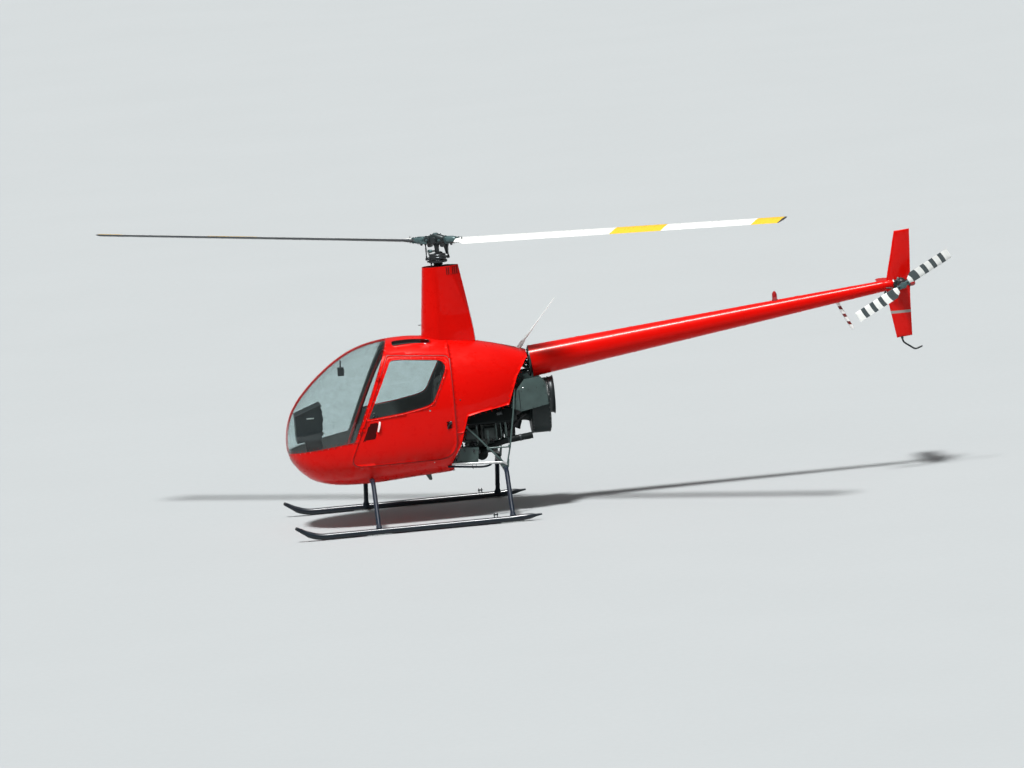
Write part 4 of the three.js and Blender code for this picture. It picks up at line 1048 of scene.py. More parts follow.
def rotor_blades():
    yellow, tip_cap = (0.86, 0.5, 0.02), (0.05, 0.05, 0.05)
    white = banded("blade_white", (0.8, 0.81, 0.78), [
        (0.52, 0.667, yellow), (0.922, 0.996, yellow), (0.996, 1.2, tip_cap)])
    under = finish("blade_under", (0.05, 0.058, 0.062), 0.5, cloud=(3.0, 0.2))
    spans = np.concatenate([[233, 262, 290, 310, 330, 350, 370, 420], np.linspace(500, 3780, 40),
                            [3805, 3820, 3830, 3835]])
    for k, name in enumerate("ab"):
        rings = blade_rings(spans, BLADE_ROWS, lambda r: math.radians(14 - 3 * r / ROTOR_RADIUS), 30)
        form = Form().loft(rings, lambda i, j: int(j >= len(rings[0]) // 2 or j < 2))
        form.turned((310, -34, -30), (310, -34, 30), ((0, 8), (60, 8)), 10, 2)
        matrix = turn_about((0, 0, 1), ROTOR_TURN + math.pi * k, HUB) @ coned()
        piece = shown(form.turned_by(matrix), f"main_blade_{name}_skin", [white, under, STEEL],
                      "main_rotor", [f"main_blade_{name}"], angle=50)
        stored_span(piece, HUB, ROTOR_RADIUS)
    bands = ((0.2, 0.335), (0.445, 0.525), (0.625, 0.705), (0.805, 0.885))
    tail_white = banded("tail_blade_white", (0.8, 0.81, 0.78),
                        [(a, b, (0.05, 0.065, 0.07)) for a, b in bands])
    rows = np.array(((62.3, 50, 0.34), (110, 102, 0.14), (533, 102, 0.12)))
    spans = np.concatenate([[62.3, 80, 95, 110, 130], np.linspace(160, 515, 12), [524, 530, 533]])
    for k, name in enumerate("ab"):
        rings = np.array(blade_rings(spans, rows, lambda r: 0.0, 12))
        form = Form().loft(rings).turned_by(turn_about((1, 0, 0), -math.pi / 2 + math.radians(8)))
        matrix = turn_about((0, 1, 0), -TAIL_TURN + math.pi * k, TAIL_HUB)
        piece = shown(form.turned_by(matrix), f"tail_blade_{name}_skin", [tail_white], "tail_rotor",
                      [f"tail_blade_{name}"], angle=50)
        stored_span(piece, TAIL_HUB, TAIL_RADIUS)


def coned():
    """The blade's upward coning about its root, as in part.mjs."""
    matrix = turn_about((0, 1, 0), -CONING)
    matrix[:3, 3] = (232 * (1 - math.cos(CONING)), 0, -232 * math.sin(CONING))
    return matrix


# Mast fairing

FAIRING_ROWS = np.array(((1600, -233, 310, 150), (1900, -209, 268, 128), (2150, -184, 228, 112),
                         (2400, -160, 188, 96)))


def fairing_ring(height, share, foot=False):
    """Plan section: a round nose, nearly flat sides and, behind a leaning crease, a rear facet."""
    lead, trail, half = (np.interp(height, FAIRING_ROWS[:, 0], FAIRING_ROWS[:, k]) for k in (1, 2, 3))
    crease = np.interp(height, (1950, 2400), (0.985, 0.74))
    shoulder = np.interp(height, (1950, 2400), (0.4, 0.9))
    width = np.interp(share, (0.32, crease, 1.0), (1.0, shoulder, 0.1))
    nose = share < 0.32
    width[nose] = np.sqrt(np.clip(1 - (1 - share[nose] / 0.32) ** 2.2, 0, 1)) ** 0.9
    ring = []
    for way in (-1, 1):
        for i in (range(len(share)) if way < 0 else range(len(share) - 1, 0, -1)):
            x, y, z = lead + (trail - lead) * share[i], way * half * width[i], height
            if foot:
                z = roof_height(x, y) - 6
            ring.append((x, y, z))
    return np.array(ring)


def mast_fairing():
    share = np.concatenate([0.32 * (1 - np.cos(np.linspace(0, math.pi / 2, 18))), np.linspace(0.34, 1, 40)])
    heights = np.linspace(1770, 2400, 22)
    foot = fairing_ring(1700, share, True)
    rings = [foot] + [fairing_ring(z, share) for z in heights]
    for ring in rings[1:4]:
        ring[:, 2] = np.maximum(foot[:, 2] + 10, ring[:, 2])
    form = Form().loft(rings, caps=False)
    centre = np.array((14.0, 0, 0))
    rim = rings[-1].copy()
    rim[:, :2] = centre[:2] + (rim[:, :2] - centre[:2]) * 0.975
    floor = rim.copy()
    floor[:, 2] = 2390
    # The floor under the fairing's top is dark red: painted shade.
    form.loft([rings[-1], rim + (0, 0, 0.5), floor], 1, caps=False)
    form.add(floor, [tuple(range(len(floor)))], 1)
    flange = foot.copy()
    flange[:, :2] = centre[:2] + (flange[:, :2] - centre[:2]) * (1.1, 1.13)
    for point in flange:
        point[2] = roof_height(*point[:2])
    form.loft([flange - (0, 0, 2), flange + (0, 0, 1.2), foot + (0, 0, 8.5), foot - (0, 0, 2)], 0,
              closed=True)
    for p in flange[::4]:
        q = p + (centre - p) * (1, 1, 0) * 0.045
        form.turned((q[0], q[1], p[2] - 2), (q[0], q[1], p[2] + 4), ((0, 3.4), (5, 3.2), (6, 1.6)), 8)
    for side in (-1, 1):
        for i in range(6):
            x = 64 + 20 * i
            low, high = 2318.0, 2391.0
            ends = []
            for z in (low, high):
                ring = fairing_ring(z, share)
                part = ring[ring[:, 1] * side > 0]
                part = part[np.argsort(part[:, 0])]
                ends.append([np.array((px, np.interp(px, part[:, 0], part[:, 1]), z))
                             for px in (x, x + 11, x + 12, x + 18)])
            # Each slot's dark red floor is painted shade; the ribs between stay red.
            form.loft([[e[0] + (0, side * 0.8, 0), e[1] + (0, side * 0.8, 0), e[1] - (0, side * 4, 0),
                        e[0] - (0, side * 4, 0)] for e in ends], 1)
            form.loft([[e[2] - (0, side * 2, 0), e[2] + (0, side * 5, 0), e[3] + (0, side * 2.5, 0),
                        e[3] - (0, side * 2, 0)] for e in ends])
        for z in np.linspace(1840, 2360, 9):
            ring = fairing_ring(z, share)
            back = np.array((np.interp(z, FAIRING_ROWS[:, 0], FAIRING_ROWS[:, 2]) - 14, 0, z))
            flank = ring[ring[:, 1] * side > 0][:, :2]
            y = np.interp(back[0], *flank[np.argsort(flank[:, 0])].T)
            form.bolt((back[0], y, z), (0.4, side, 0), 2.6, 2)
    shown(form, "mast_fairing_skin", [PAINT_MOULDED, FAIRING_SLOT_SHADE], "airframe",
          ["mast_fairing"], angle=24)


# Landing gear

SKID_SIDE, SKID_AXIS = 965.0, 34.0
# The cross tubes' straight parts: half length, height, and the places of the front and rear ones
CROSS_HALF, CROSS_HEIGHT, FRONT_CROSS, REAR_CROSS = 590.0, 452.0, -835, 443


def landing_gear():
    for name, side in SIDES:
        y = side * SKID_SIDE
        form = Form()
        form.tube([(-1616, y, 132), (-1450, y, SKID_AXIS), (440, y, SKID_AXIS), (600, y, 44), (718, y, 54)],
                  [17, 30, 30, 30, 30, 30, 30, 30, 30, 30, 29, 26, 18, 8], 24, 110)
        form.turned((-1612, y, 130), (-1640, y, 147), ((0, 17), (10, 16), (18, 12), (21, 5)), 24, 1)
        for a, b in ((-940, -720), (340, 545)):
            form.block((a, b), (y - 18, y + 18), (0, 10), 2)
            form.prism([(a - 26, 8), (a, 0), (a, 14)], y - 18, y + 18, 2)
        for x in (264, 292):
            eye = [(x, y + 17 * math.cos(a), 84 + 19 * math.sin(a))
                   for a in np.linspace(-1.2, math.pi + 1.2, 20)]
            form.tube(eye, 4.5, 10)
        form.turned((256, y, 88), (300, y, 88), ((0, 5), (2, 6.5), (42, 6.5), (44, 5)), 12, 1)
        shown(form, f"skid_{name}_tube", [SKID, RUBBER, STEEL], "airframe", [f"skid_{name}"],
              soften=1.2)
    for name, x in (("front", FRONT_CROSS), ("rear", REAR_CROSS)):
        form = Form()
        line = [np.array((x, side * y, z)) for side, y, z in (
            (-1, SKID_SIDE, SKID_AXIS), (-1, CROSS_HALF, CROSS_HEIGHT), (1, CROSS_HALF, CROSS_HEIGHT),
            (1, SKID_SIDE, SKID_AXIS))]
        form.tube(line, 22, 24, 60)
        for foot, elbow in (line[:2], line[:1:-1]):
            way = unit(elbow - foot)
            form.turned(foot + way * 26, foot + way * 74, ((0, 33), (8, 31), (40, 25), (48, 22.5)), 24)
            form.turned(foot + way * 18, foot + way * 28, ((0, 36), (8, 36), (10, 33)), 24)
        shown(form, f"gear_{name}_legs", [GEAR], "airframe", [f"gear_{name}"], soften=1.0)


# Rotor head: hub, grips, swashplates and their links, in the rotor's own frame with the blades along X

def rotor_place(half_turn=0):
    return turn_about((0, 0, 1), ROTOR_TURN + math.pi * half_turn, HUB)


def hub_block():
    form = Form().loft([oval_ring(x, half, low, high) for x, half, low, high in (
        (-100, 27, -25, 29), (-97, 31, -29, 34), (-84, 35, -35, 42), (-58, 39, -38, 49), (-34, 41, -40, 57),
        (-14, 42, -41, 62), (14, 42, -41, 62), (34, 41, -40, 57), (58, 39, -38, 49), (84, 35, -35, 42),
        (97, 31, -29, 34), (100, 27, -25, 29))])
    form.turned((0, -64, 0), (0, 64, 0), ((0, 12), (2, 15), (10, 15), (11, 21), (24, 22), (104, 22),
                                          (117, 21), (118, 15), (126, 15), (128, 12)), 24, 1)
    for x in (-70, 70):
        form.turned((x, -54, 8), (x, 54, 8), ((0, 8), (1, 11), (9, 11), (10, 16), (16, 17), (92, 17),
                                              (98, 16), (99, 11), (107, 11), (108, 8)), 18, 1)
        for y in (-22, 22):
            form.bolt((x * 0.6, y, 54), (0, 0, 1), 5, 7, 1)
    form.turned((0, 0, 52), (0, 0, 70), ((0, 27), (8, 27), (9, 23), (15, 23), (18, 17)), 6, 2)
    form.turned((0, 0, -52), (0, 0, -30), ((0, 27), (3, 30), (18, 30), (22, 27)), 24, 1)
    for side in (-1, 1):
        for x in (-70, 70):
            form.turned((x, side * 44, 4), (x, side * 62, 4),
                        ((0, 26), (2, 29), (13, 29), (15, 26), (18, 20)), 28, 1)
            form.bolt((x, side * 61, 4), (0, side, 0), 13, 9, 2)
        form.turned((0, side * 50, 2), (0, side * 68, 2), ((0, 28), (2, 32), (13, 32), (15, 29), (18, 22)),
                    28, 1)
        form.loft([[(side * (70 + u * s), v * s, z)
                    for u, v in ((-16, -30), (16, -30), (16, 30), (-16, 30))]
                   for z, s in ((-18, 1.0), (-52, 1.0), (-66, 0.7))], 1)
    form.turned((-84, -34, -104), (-34, -26, -104),
                ((0, 8), (4, 14), (18, 17), (36, 16), (46, 11), (50, 6)), 20, 2)
    form.tube([(-60, -30, -104), (-8, -8, -104)], 8, 12, 0, 1)
    form.tube([(-74, -32, -104), (-68, -38, -146)], 6, 10, 0, 1)
    form.loft([[(74 + u * s, 52 + v * s, z) for u, v in ((-24, -11), (24, -11), (24, 11), (-24, 11))]
               for z, s in ((-22, 1.1), (-46, 1.1), (-84, 0.75), (-142, 0.3))], 1)
    # The hub's block is darker than the grips: painted shade.
    shown(form.turned_by(rotor_place()), "rotor_hub_block", [DARK_MACHINERY_AND_SHADE, DARK, MACHINERY_LIGHT],
          "main_rotor", ["rotor_hub"], soften=1.2, angle=40)


def oval_ring(x, half, low, high, count=28, power=3.2):
    turn = np.arange(count) * 2 * math.pi / count
    c, s = np.cos(turn), np.sin(turn)
    reach = (np.abs(c) ** power + np.abs(s) ** power) ** (-1 / power)
    middle, tall = (low + high) / 2, (high - low) / 2
    return np.stack([np.full(count, x), half * reach * c, middle + tall * reach * s], -1)


def blade_grips():
    for k, name in enumerate("ab"):
        form = Form()
        form.turned((100.5, 0, 0), (236, 0, 0), ((0, 30), (1, 38), (11, 40), (13, 40), (14, 34), (17, 38),
                                                 (20, 34), (23, 38), (26, 34), (29, 38), (32, 34), (34, 38),
                                                 (46, 38), (90, 37), (100, 36), (114, 31), (124, 27),
                                                 (131, 24), (135, 14)), 32)
        form.turned((103, 0, 0), (110, 0, 0), ((0, 42.5), (7, 42.5)), 32, 1)
        for turn in range(8):
            a = turn * math.pi / 4 + 0.2
            form.bolt((111, 31 * math.cos(a), 31 * math.sin(a)), (1, 0, 0), 3.4, 5, 1)
        for z in (-1, 1):
            form.loft([[(x, y, z * h) for x, y in ((190, -15), (240, -24), (262, -22), (272, 0), (262, 22),
                                                   (240, 24), (190, 15))] for h in (19, 25)])
            for x in (226, 254):
                form.bolt((x, 0, z * 25), (0, 0, z), 6, 6, 1)
        form.loft([[(x, y, z) for x, y in ((152, 24), (156, 52), (128, 60), (98, 93), (62, 96), (55, 84),
                                           (62, 73), (86, 68), (108, 42), (112, 24))] for z in (-25, -7)])
        form.turned((70, 84, -30), (70, 84, 0), ((0, 8), (2, 11), (24, 11), (26, 7), (30, 7)), 12, 1)
        form.turned((166, 0, -36), (166, 0, -52), ((0, 12), (10, 12), (16, 7)), 12, 1)
        form.tube([(150, 20, 28), (176, 20, 33), (204, 12, 30)], 3.5, 8, 10, 1)
        shown(form.turned_by(rotor_place(k)), f"blade_grip_{name}_housing", [MACHINERY_LIGHT, DARK],
              "main_rotor", [f"blade_grip_{name}"], soften=1.0, angle=38)


def swashplates():
    shaft = Form()
    shaft.turned((0, 0, -304.7), (0, 0, -35.3), ((0, 22.5), (142, 22.5), (143, 27), (150, 34), (172, 34),
                                                 (178, 27), (180, 22.5), (240, 22.5), (243, 26), (269, 26)),
                 28)
    shown(shaft.turned_by(rotor_place()), "mast_shaft", [DARK_STEEL], "main_rotor", ["mast"])
    upper = Form()
    upper.turned((0, 0, -182), (0, 0, -152), ((0, 66), (1, 82), (3, 85), (9, 86), (10, 81), (13, 81),
                                              (14, 86), (22, 86), (25, 83), (26, 62), (30, 58)), 40)
    upper.turned((0, 0, -158), (0, 0, -130), ((0, 70), (3, 80), (19, 80), (24, 76), (28, 44)), 40)
    for sign in (-1, 1):
        x, y = 70 * sign, 84 * sign
        way = unit((x, y, 0))
        left = np.cross((0, 0, 1), way)
        upper.loft([[np.array((0, 0, z)) + way * r + left * w for r, w in (
            (60, -20), (60, 20), (88, 17), (100, 10), (113, 8), (113, -8), (100, -10), (88, -17))]
            for z in (-180, -158)])
        upper.turned((x, y, -186), (x, y, -152), ((0, 8), (3, 13), (10, 14), (20, 13), (27, 9), (34, 6)),
                     14)
        upper.turned((x, y, -158), (x, y, -22), ((0, 5), (6, 8), (14, 8), (15, 5.6), (50, 5.6), (51, 7.5),
                                                 (92, 7.5), (93, 5.6), (120, 5.6), (121, 8), (130, 8),
                                                 (136, 6)), 12)
        upper.turned((x, y, -40), (x, y, -25), ((0, 8), (4, 11), (11, 11), (15, 8)), 14)
    upper.tube([(0, 34, -128), (-10, 74, -120), (-14, 92, -148), (-6, 78, -166)], 8, 10, 12, 1)
    upper.turned((-22, 84, -134), (6, 84, -134), ((0, 8), (2, 12), (26, 12), (28, 8)), 16)
    upper.turned((14, -34, -128), (14, -62, -128), ((0, 10), (4, 13), (24, 13), (28, 9)), 16)
    shown(upper.turned_by(rotor_place()), "swashplate_upper_ring", [DARK_STEEL, MACHINERY_LIGHT],
          "main_rotor", ["swashplate_upper"], soften=0.8, angle=38)
    lower = Form()
    lower.turned((0, 0, 2437), (0, 0, 2463), ((0, 60), (1, 88), (3, 92), (13, 92), (14, 87), (17, 87),
                                              (18, 91), (24, 90), (26, 76)), 40)
    lower.turned((0, 0, 2402), (0, 0, 2440), tuple(
        (h, 40 if k % 2 else 46) for k, h in enumerate(np.linspace(0, 38, 12))), 28, 1)
    for degrees in (180, 60, -60):
        a = math.radians(degrees)
        x, y = 64 * math.cos(a), 64 * math.sin(a)
        lower.turned((x, y, 2399), (x, y, 2442), ((0, 6), (1, 8), (12, 8), (13, 5.5), (20, 5.5), (21, 9),
                                                  (30, 9), (34, 7), (43, 7)), 12)
        x, y = 96 * math.cos(a), 96 * math.sin(a)
        lower.turned((x * 0.9, y * 0.9, 2450), (x * 1.06, y * 1.06, 2450), ((0, 8), (14, 8), (15, 5)), 10)
    shown(lower, "swashplate_lower_ring", [DARK_STEEL, RUBBER], "airframe",
          ["swashplate_lower"], soften=0.8, angle=38)


# Engine bay

CRANK = 790.0
# Place along the engine and side of each cylinder
CYLINDERS = ((150, -1), (330, -1), (190, 1), (370, 1))


def engine():
    form = Form()
    form.block((70, 470), (-118, 118), (705, 900))
    form.block((78, 462), (-126, 126), (783, 797))
    form.block((92, 452), (-92, 92), (898, 922))
    form.block((116, 424), (-92, 92), (642, 706))
    form.block((108, 432), (-98, 98), (698, 708))
    for x in np.linspace(100, 440, 8):
        for side in (-1, 1):
            form.bolt((x, side * 122, 799), (0, 0, 1), 5, 8, 1)
            form.bolt((x, side * 95, 710), (0, 0, 1), 4.5, 6, 1)
    for x in (150, 210, 270, 330, 390):
        form.block((x - 4, x + 4), (-121, 121), (712, 894))
        form.block((x - 3, x + 3), (-95, 95), (638, 700))
    for x, side in CYLINDERS:
        cylinder(form, x, side)
    form.turned((452, 0, CRANK), (478, 0, CRANK), ((0, 150), (4, 156), (22, 156), (26, 150)), 60, 2)
    form.turned((474, 0, CRANK), (500, 0, CRANK), ((0, 60), (26, 60)), 28, 2)
    form.turned((496, 0, CRANK), (596, 0, CRANK),
                tuple(row for k in range(8) for row in ((k * 12, 96), (k * 12 + 3, 96), (k * 12 + 6, 86),
                                                        (k * 12 + 9, 96))), 40, 2)
    form.turned((596, 0, CRANK), (640, 0, CRANK + 90), ((0, 60), (30, 52), (90, 44), (100, 44)), 28, 2)
    for side in (-1, 1):
        form.turned((74, side * 58, 945), (150, side * 58, 945),
                    ((0, 24), (4, 34), (50, 36), (54, 30), (74, 30), (76, 20)), 24, 1)
        for k, (dy, dz) in enumerate(((-14, 14), (14, 14), (-14, -12), (14, -12))):
            form.turned((150, side * 58 + dy, 945 + dz), (166, side * 58 + dy, 945 + dz),
                        ((0, 6), (14, 5), (16, 3)), 10, 3)
            x = [at for at, way in CYLINDERS if way == side][k % 2] + (44 if k < 2 else -44)
            form.tube([(162, side * 58 + dy, 945 + dz), (200 + 12 * k, side * 90, 962 - 6 * k),
                       (x, side * 170, 940 - 5 * k), (x, side * 246, 900),
                       (x, side * 262, 872 if k < 2 else 880)], 4.6, 8, 34, 3)
    form.turned((86, -134, 752), (150, -134, 752), ((0, 30), (4, 38), (44, 38), (48, 34), (64, 30)), 24, 1)
    form.turned((120, 0, 900), (120, 0, 948), ((0, 18), (6, 26), (40, 26), (48, 20)), 24, 1)
    form.turned((420, -60, 900), (420, -60, 1006), ((0, 12), (76, 12), (78, 17), (98, 17), (106, 10)), 16,
                3)
    form.block((228, 318), (-46, 46), (572, 644), 1)
    form.turned((273, 0, 556), (273, 0, 644), ((0, 40), (6, 44), (14, 44), (18, 36), (88, 36)), 24, 1)
    form.block((330, 420), (40, 128), (566, 636), 1)
    corrugated(form, [(318, 10, 600), (352, 40, 600), (380, 84, 604)], 30, 9, 3)
    corrugated(form, [(400, 110, 640), (430, 150, 720), (470, 180, 830), (520, 190, 940)], 34, 10, 3)
    corrugated(form, [(90, 110, 960), (60, 160, 1010), (110, 200, 1090), (200, 190, 1160)], 28, 9, 3)
    form.tube([(440, -96, 735), (470, -150, 700), (430, -176, 650), (360, -150, 622)], 9, 10, 24, 3)
    form.tube([(96, -100, 720), (60, -176, 760), (96, -228, 860), (150, -180, 948)], 8, 10, 30, 3)
    form.tube([(300, -96, 905), (330, -150, 948), (420, -160, 980), (560, -120, 985)], 8, 10, 30, 3)
    form.tube([(210, -60, 924), (250, -120, 985), (360, -150, 1000), (470, -110, 960)], 6, 8, 26, 3)
    for x, radius in ((207, 7), (392, 8)):
        form.tube([(x, -88, 672), (x + 6, -240, 684), (x + 2, -338, 740), (x, -338, 887)], radius,
                  14, 44, 4)
        form.turned((x, -338, 868), (x, -338, 880), ((0, 11), (12, 11)), 14, 2)
    form.tube([(308, -88, 672), (314, -240, 684), (310, -338, 740), (308, -338, 822)], 12, 14, 44, 4)
    for x, radius in ((438, 6), (485, 11)):
        form.tube([(x, -300, 722), (x + 3, -330, 792), (x, -334, 887)], radius, 12, 30, 4)
    # The engine takes the darker copies of its grey paint and cast metal: painted shade.
    shown(form, "engine_assembly", [MACHINE_GREY_SHADED, MACHINE_CAST_SHADED, DARK_STEEL, RUBBER, MACHINERY], "airframe",
          ["engine_block"], soften=1.6, angle=38)


def baffles():
    """Cooling panels over the cylinders and the tanks and hoses behind them, which close the engine bay.
    The panels and tanks are near black: painted shade of the bay.
    """
    form = Form()
    for side in (-1, 1):
        form.loft([[(x, side * y, z) for y, z in ((100, 905), (345, 884), (350, 900), (300, 1010),
                                                  (120, 1040))] for x in (66, 74, 470, 600)])
        form.loft([[(x, side * y, z) for y, z in ((110, 700), (236, 708), (236, 880), (110, 890))]
                   for x in (250, 262)])
        for x in (120, 220, 320, 420):
            form.block((x - 3, x + 3), sided(side, 120, 352), (880, 902))
        form.turned((120, side * 300, 1080), (520, side * 270, 1110),
                    ((0, 50), (8, 70), (30, 84), (340, 84), (392, 70), (400, 50)), 32)
        for x in (200, 420):
            form.turned((x, side * 296, 1086), (x + 22, side * 294, 1088), ((0, 86), (22, 86)), 32, 1)
        form.turned((405, side * 306, 972), (470, side * 306, 980),
                    ((0, 24), (6, 34), (56, 34), (62, 26)), 28, 1)
        corrugated(form, [(500, side * 240, 1060), (560, side * 250, 1010), (600, side * 280, 960),
                          (650, side * 300, 1010)], 38, 11, 2)
        form.tube([(480, side * 200, 760), (560, side * 236, 820), (640, side * 220, 900),
                   (700, side * 200, 930)], 13, 12, 40, 2)
        form.tube([(470, side * 230, 860), (540, side * 258, 900), (600, side * 250, 985)], 9, 10, 40, 2)
    form.block((610, 660), (-210, 210), (905, 1000))
    form.block((486, 500), (-190, 190), (900, 1080))
    shown(form, "engine_baffles", [NEAR_BLACK_SHADE, DARK_STEEL, RUBBER], "airframe",
          soften=2.0, angle=35)


def cylinder(form, x, side):
    """One finned cylinder with its head, rocker cover, plugs, pushrod tubes and ports."""
    rows = [(0, 76), (9, 76), (9.5, 64)]
    for h in np.arange(14, 122, 7.5):
        rows += [(h, 62), (h + 0.6, 83), (h + 2.6, 83), (h + 3.2, 62)]
    form.turned((x, side * 118, CRANK), (x, side * 244, CRANK), (*rows, (124, 62)), 32, 1)
    for k in range(5):
        y0 = 238 + k * 8
        form.block((x - 78 + k * 2, x + 78 - k * 2), sided(side, y0, y0 + 3), (718 - k, 872 - k * 2), 1)
    form.block((x - 62, x + 62), sided(side, 236, 276), (728, 858), 1)
    form.block((x - 66, x + 66), sided(side, 274, 282), (726, 860))
    form.loft([[(x + px * s, side * y, 793 + pz * s) for px, pz in (
        (-60, -40), (-52, -60), (52, -60), (60, -40), (60, 40), (52, 60), (-52, 60), (-60, 40))]
        for y, s in ((282, 1), (318, 0.96), (334, 0.86), (340, 0.7))])
    for dx in (-58, 0, 58):
        for dz in (-60, 60):
            form.bolt((x + dx * 0.98, side * 282, 793 + dz), (0, side, 0), 4.2, 6, 2)
    for dx in (-24, 24):
        form.turned((x + dx, side * 112, 716), (x + dx, side * 250, 738),
                    ((0, 11), (6, 9), (132, 9), (140, 11)), 14, 2)
    for dx in (-44, 44):
        form.turned((x + dx, side * 248, 846), (x + dx, side * 266, 884),
                    ((0, 8), (8, 11), (18, 11), (19, 7), (42, 6)), 6, 2)
    form.tube([(x - 34, side * 78, 676), (x - 34, side * 150, 660), (x - 34, side * 232, 690),
               (x - 34, side * 244, 726)], 18, 14, 44, 1)
    form.turned((x - 34, side * 244, 712), (x - 34, side * 244, 728), ((0, 24), (16, 24)), 14, 1)
    form.tube([(x + 34, side * 250, 728), (x + 34, side * 256, 664),
               (250 + (x + 34 - 250) * 0.5, side * 225, 618),
               (250 + (x + 34 - 250) * 0.28, side * 190, 596)], 20, 14, 36, 2)
    form.turned((x + 34, side * 251, 712), (x + 34, side * 250, 730), ((0, 26), (18, 26)), 14, 2)


def corrugated(form, path, radius, pitch, mark=0):
    """A hose with ribs along a bent path."""
    path = rounded_path(path, 60)
    length = run_length(path)
    count = int(length[-1] / pitch * 4)
    at = np.linspace(0, length[-1], count)
    line = sampled(at, length, path)
    radii = radius - 2.2 + 2.2 * np.cos(np.arange(count) * math.pi / 2)
    form.tube(line, list(radii), 16, 0, mark)


UPPER_SHEAVE = 1330.0


def drive():
    """Belts from the engine to the upper sheave, the shaft to the gearbox and on to the tail."""
    form = Form()
    low, high, r0, r1 = CRANK, UPPER_SHEAVE, 92.0, 120.0
    lean = math.asin((r1 - r0) / (high - low))
    loop = [(r1 * math.cos(a), high + r1 * math.sin(a)) for a in np.linspace(-lean, math.pi + lean, 24)]
    loop += [(r0 * math.cos(a), low + r0 * math.sin(a))
             for a in np.linspace(math.pi + lean, 2 * math.pi - lean, 20)]
    loop = np.array(loop)
    ahead = unit(np.roll(loop, -1, 0) - np.roll(loop, 1, 0))
    off = np.stack([ahead[:, 1], -ahead[:, 0]], -1)
    for x in (500, 526, 552, 576):
        rings = [[(x, *p), (x + 14, *p), (x + 17, *(p + n * 9)), (x - 3, *(p + n * 9))]
                 for p, n in zip(loop, off)]
        form.loft(rings, 3, closed=True)
    form.turned((492, 0, high), (602, 0, high), ((0, 60), (3, 124), (6, 118), (104, 118), (107, 124),
                                                 (110, 60)), 48, 1)
    form.turned((60, 0, high), (800, 0, 1406), ((0, 30), (300, 30), (302, 22), (700, 22), (706, 40),
                                                (716, 40)), 24, 2)
    form.turned((-70, 0, high - 30), (170, 0, high - 30),
                ((0, 70), (20, 104), (60, 118), (180, 118), (200, 96), (240, 60)), 36)
    form.turned((40, 0, high - 150), (40, 0, 1620),
                ((0, 90), (20, 108), (190, 112), (210, 84), (330, 60), (440, 54)), 36)
    for k in range(12):
        a = k * math.pi / 6
        form.bolt((40 + 98 * math.cos(a), 98 * math.sin(a), high + 40), (0, 0, 1), 5, 6, 2)
    # The drive takes the same darker copies of grey and cast metal: painted shade.
    shown(form, "drive_train", [MACHINE_GREY_SHADED, MACHINE_CAST_SHADED, DARK_STEEL, RUBBER], "airframe",
          soften=1.5, angle=38)


def frames():
    for name, side in SIDES:
        y = side * 455
        form = Form()
        joint = np.array((458, y, 470.0))
        form.tube([joint, (507, y, 668), (567, side * 398, 978), (602, side * 342, 1200)], 7.5, 16, 30)
        form.tube([(36, y, 955), (107, y, 885), (460, y, 482)], 9, 16, 16)
        form.tube([(296, y, 665), (505, y, 660)], 8, 14)
        # The lower tube is pale: a painted highlight.
        form.tube([(-64, y, 543), (432, y, 517), (460, y, 490)], 11.5, 16, 14, 1)
        form.turned((447, side * 427, 456), (447, side * 483, 456),
                    ((0, 17), (2, 21), (5, 23), (51, 23), (54, 21), (56, 17)), 28, 3)
        for at in ((293, 661), (500, 668), (107, 885)):
            form.turned((at[0], side * 440, at[1]), (at[0], side * 470, at[1]), ((0, 13), (30, 13)), 14)
        gusset = ((400, 500), (430, 462), (478, 464), (488, 540), (478, 542), (462, 506), (410, 534))
        form.prism(gusset, y - 3, y + 3)
        form.bolt((447, side * 482, 456), (0, side, 0), 8, 8, 2)
        for x, z in ((-8, 540), (18, 538)):
            form.turned((x, side * 404, z), (x, side * 448, z), ((0, 10), (44, 10)), 14, 2)
        form.tube([(-100, y - side * 22, 521), (226, y - side * 22, 488), (300, y - side * 14, 498),
                   (318, y, 520)], 9.5, 12, 40, 3)
        for x, low, aft in ((-44, 478, -8), (130, 480, 12), (168, 486, 46)):
            form.tube([(x, y - side * 20, 520), (x, y - side * 18, low + 8), (x + aft, y - side * 18, low)],
                      3.2, 8, 10, 3)
        shown(form, f"frame_{name}_tubes", [FRAME_PAINT, FRAME_HIGHLIGHT, DARK_STEEL, GEAR], "airframe",
              [f"frame_{name}"], soften=0.8)
    form = Form()
    for side in (-1, 1):
        for start, end in (((32.7, side * 240, 1470), (788, side * 100, boom_axis(788) + 45)),
                           ((33.6, side * 240, 1180), (788, side * 90, boom_axis(788) - 80))):
            form.tube([start, end], 13, 16)
            way = unit(np.array(end) - start)
            form.turned(start, np.array(start) + way * 30, ((0, 26), (10, 24), (30, 14)), 16)
        form.tube([(420, side * 168, 1466), (560, side * 140, 1280)], 9, 12)
        form.tube([(560, side * 140, 1470), (788, side * 92, boom_axis(788) - 70)], 9, 12)
    turn = np.arange(48) * 2 * math.pi / 48
    form.loft([np.stack([np.full(48, x), r * np.cos(turn), boom_axis(x) + r * np.sin(turn)], -1)
               for x, r in ((777, 102), (777, 138), (780, 141), (796, 141), (799.5, 138), (799.5, 102))],
              closed=True)
    for k in range(12):
        a = k * math.pi / 6 + 0.1
        form.bolt((776, 122 * math.cos(a), boom_axis(777) + 122 * math.sin(a)), (-1, 0, 0), 6, 8, 1)
    # The upper frame takes the darker grey: painted shade behind the cowl.
    shown(form, "upper_frame_tubes", [MACHINE_GREY_SHADED, DARK_STEEL], "airframe", ["upper_frame"],
          soften=0.8)


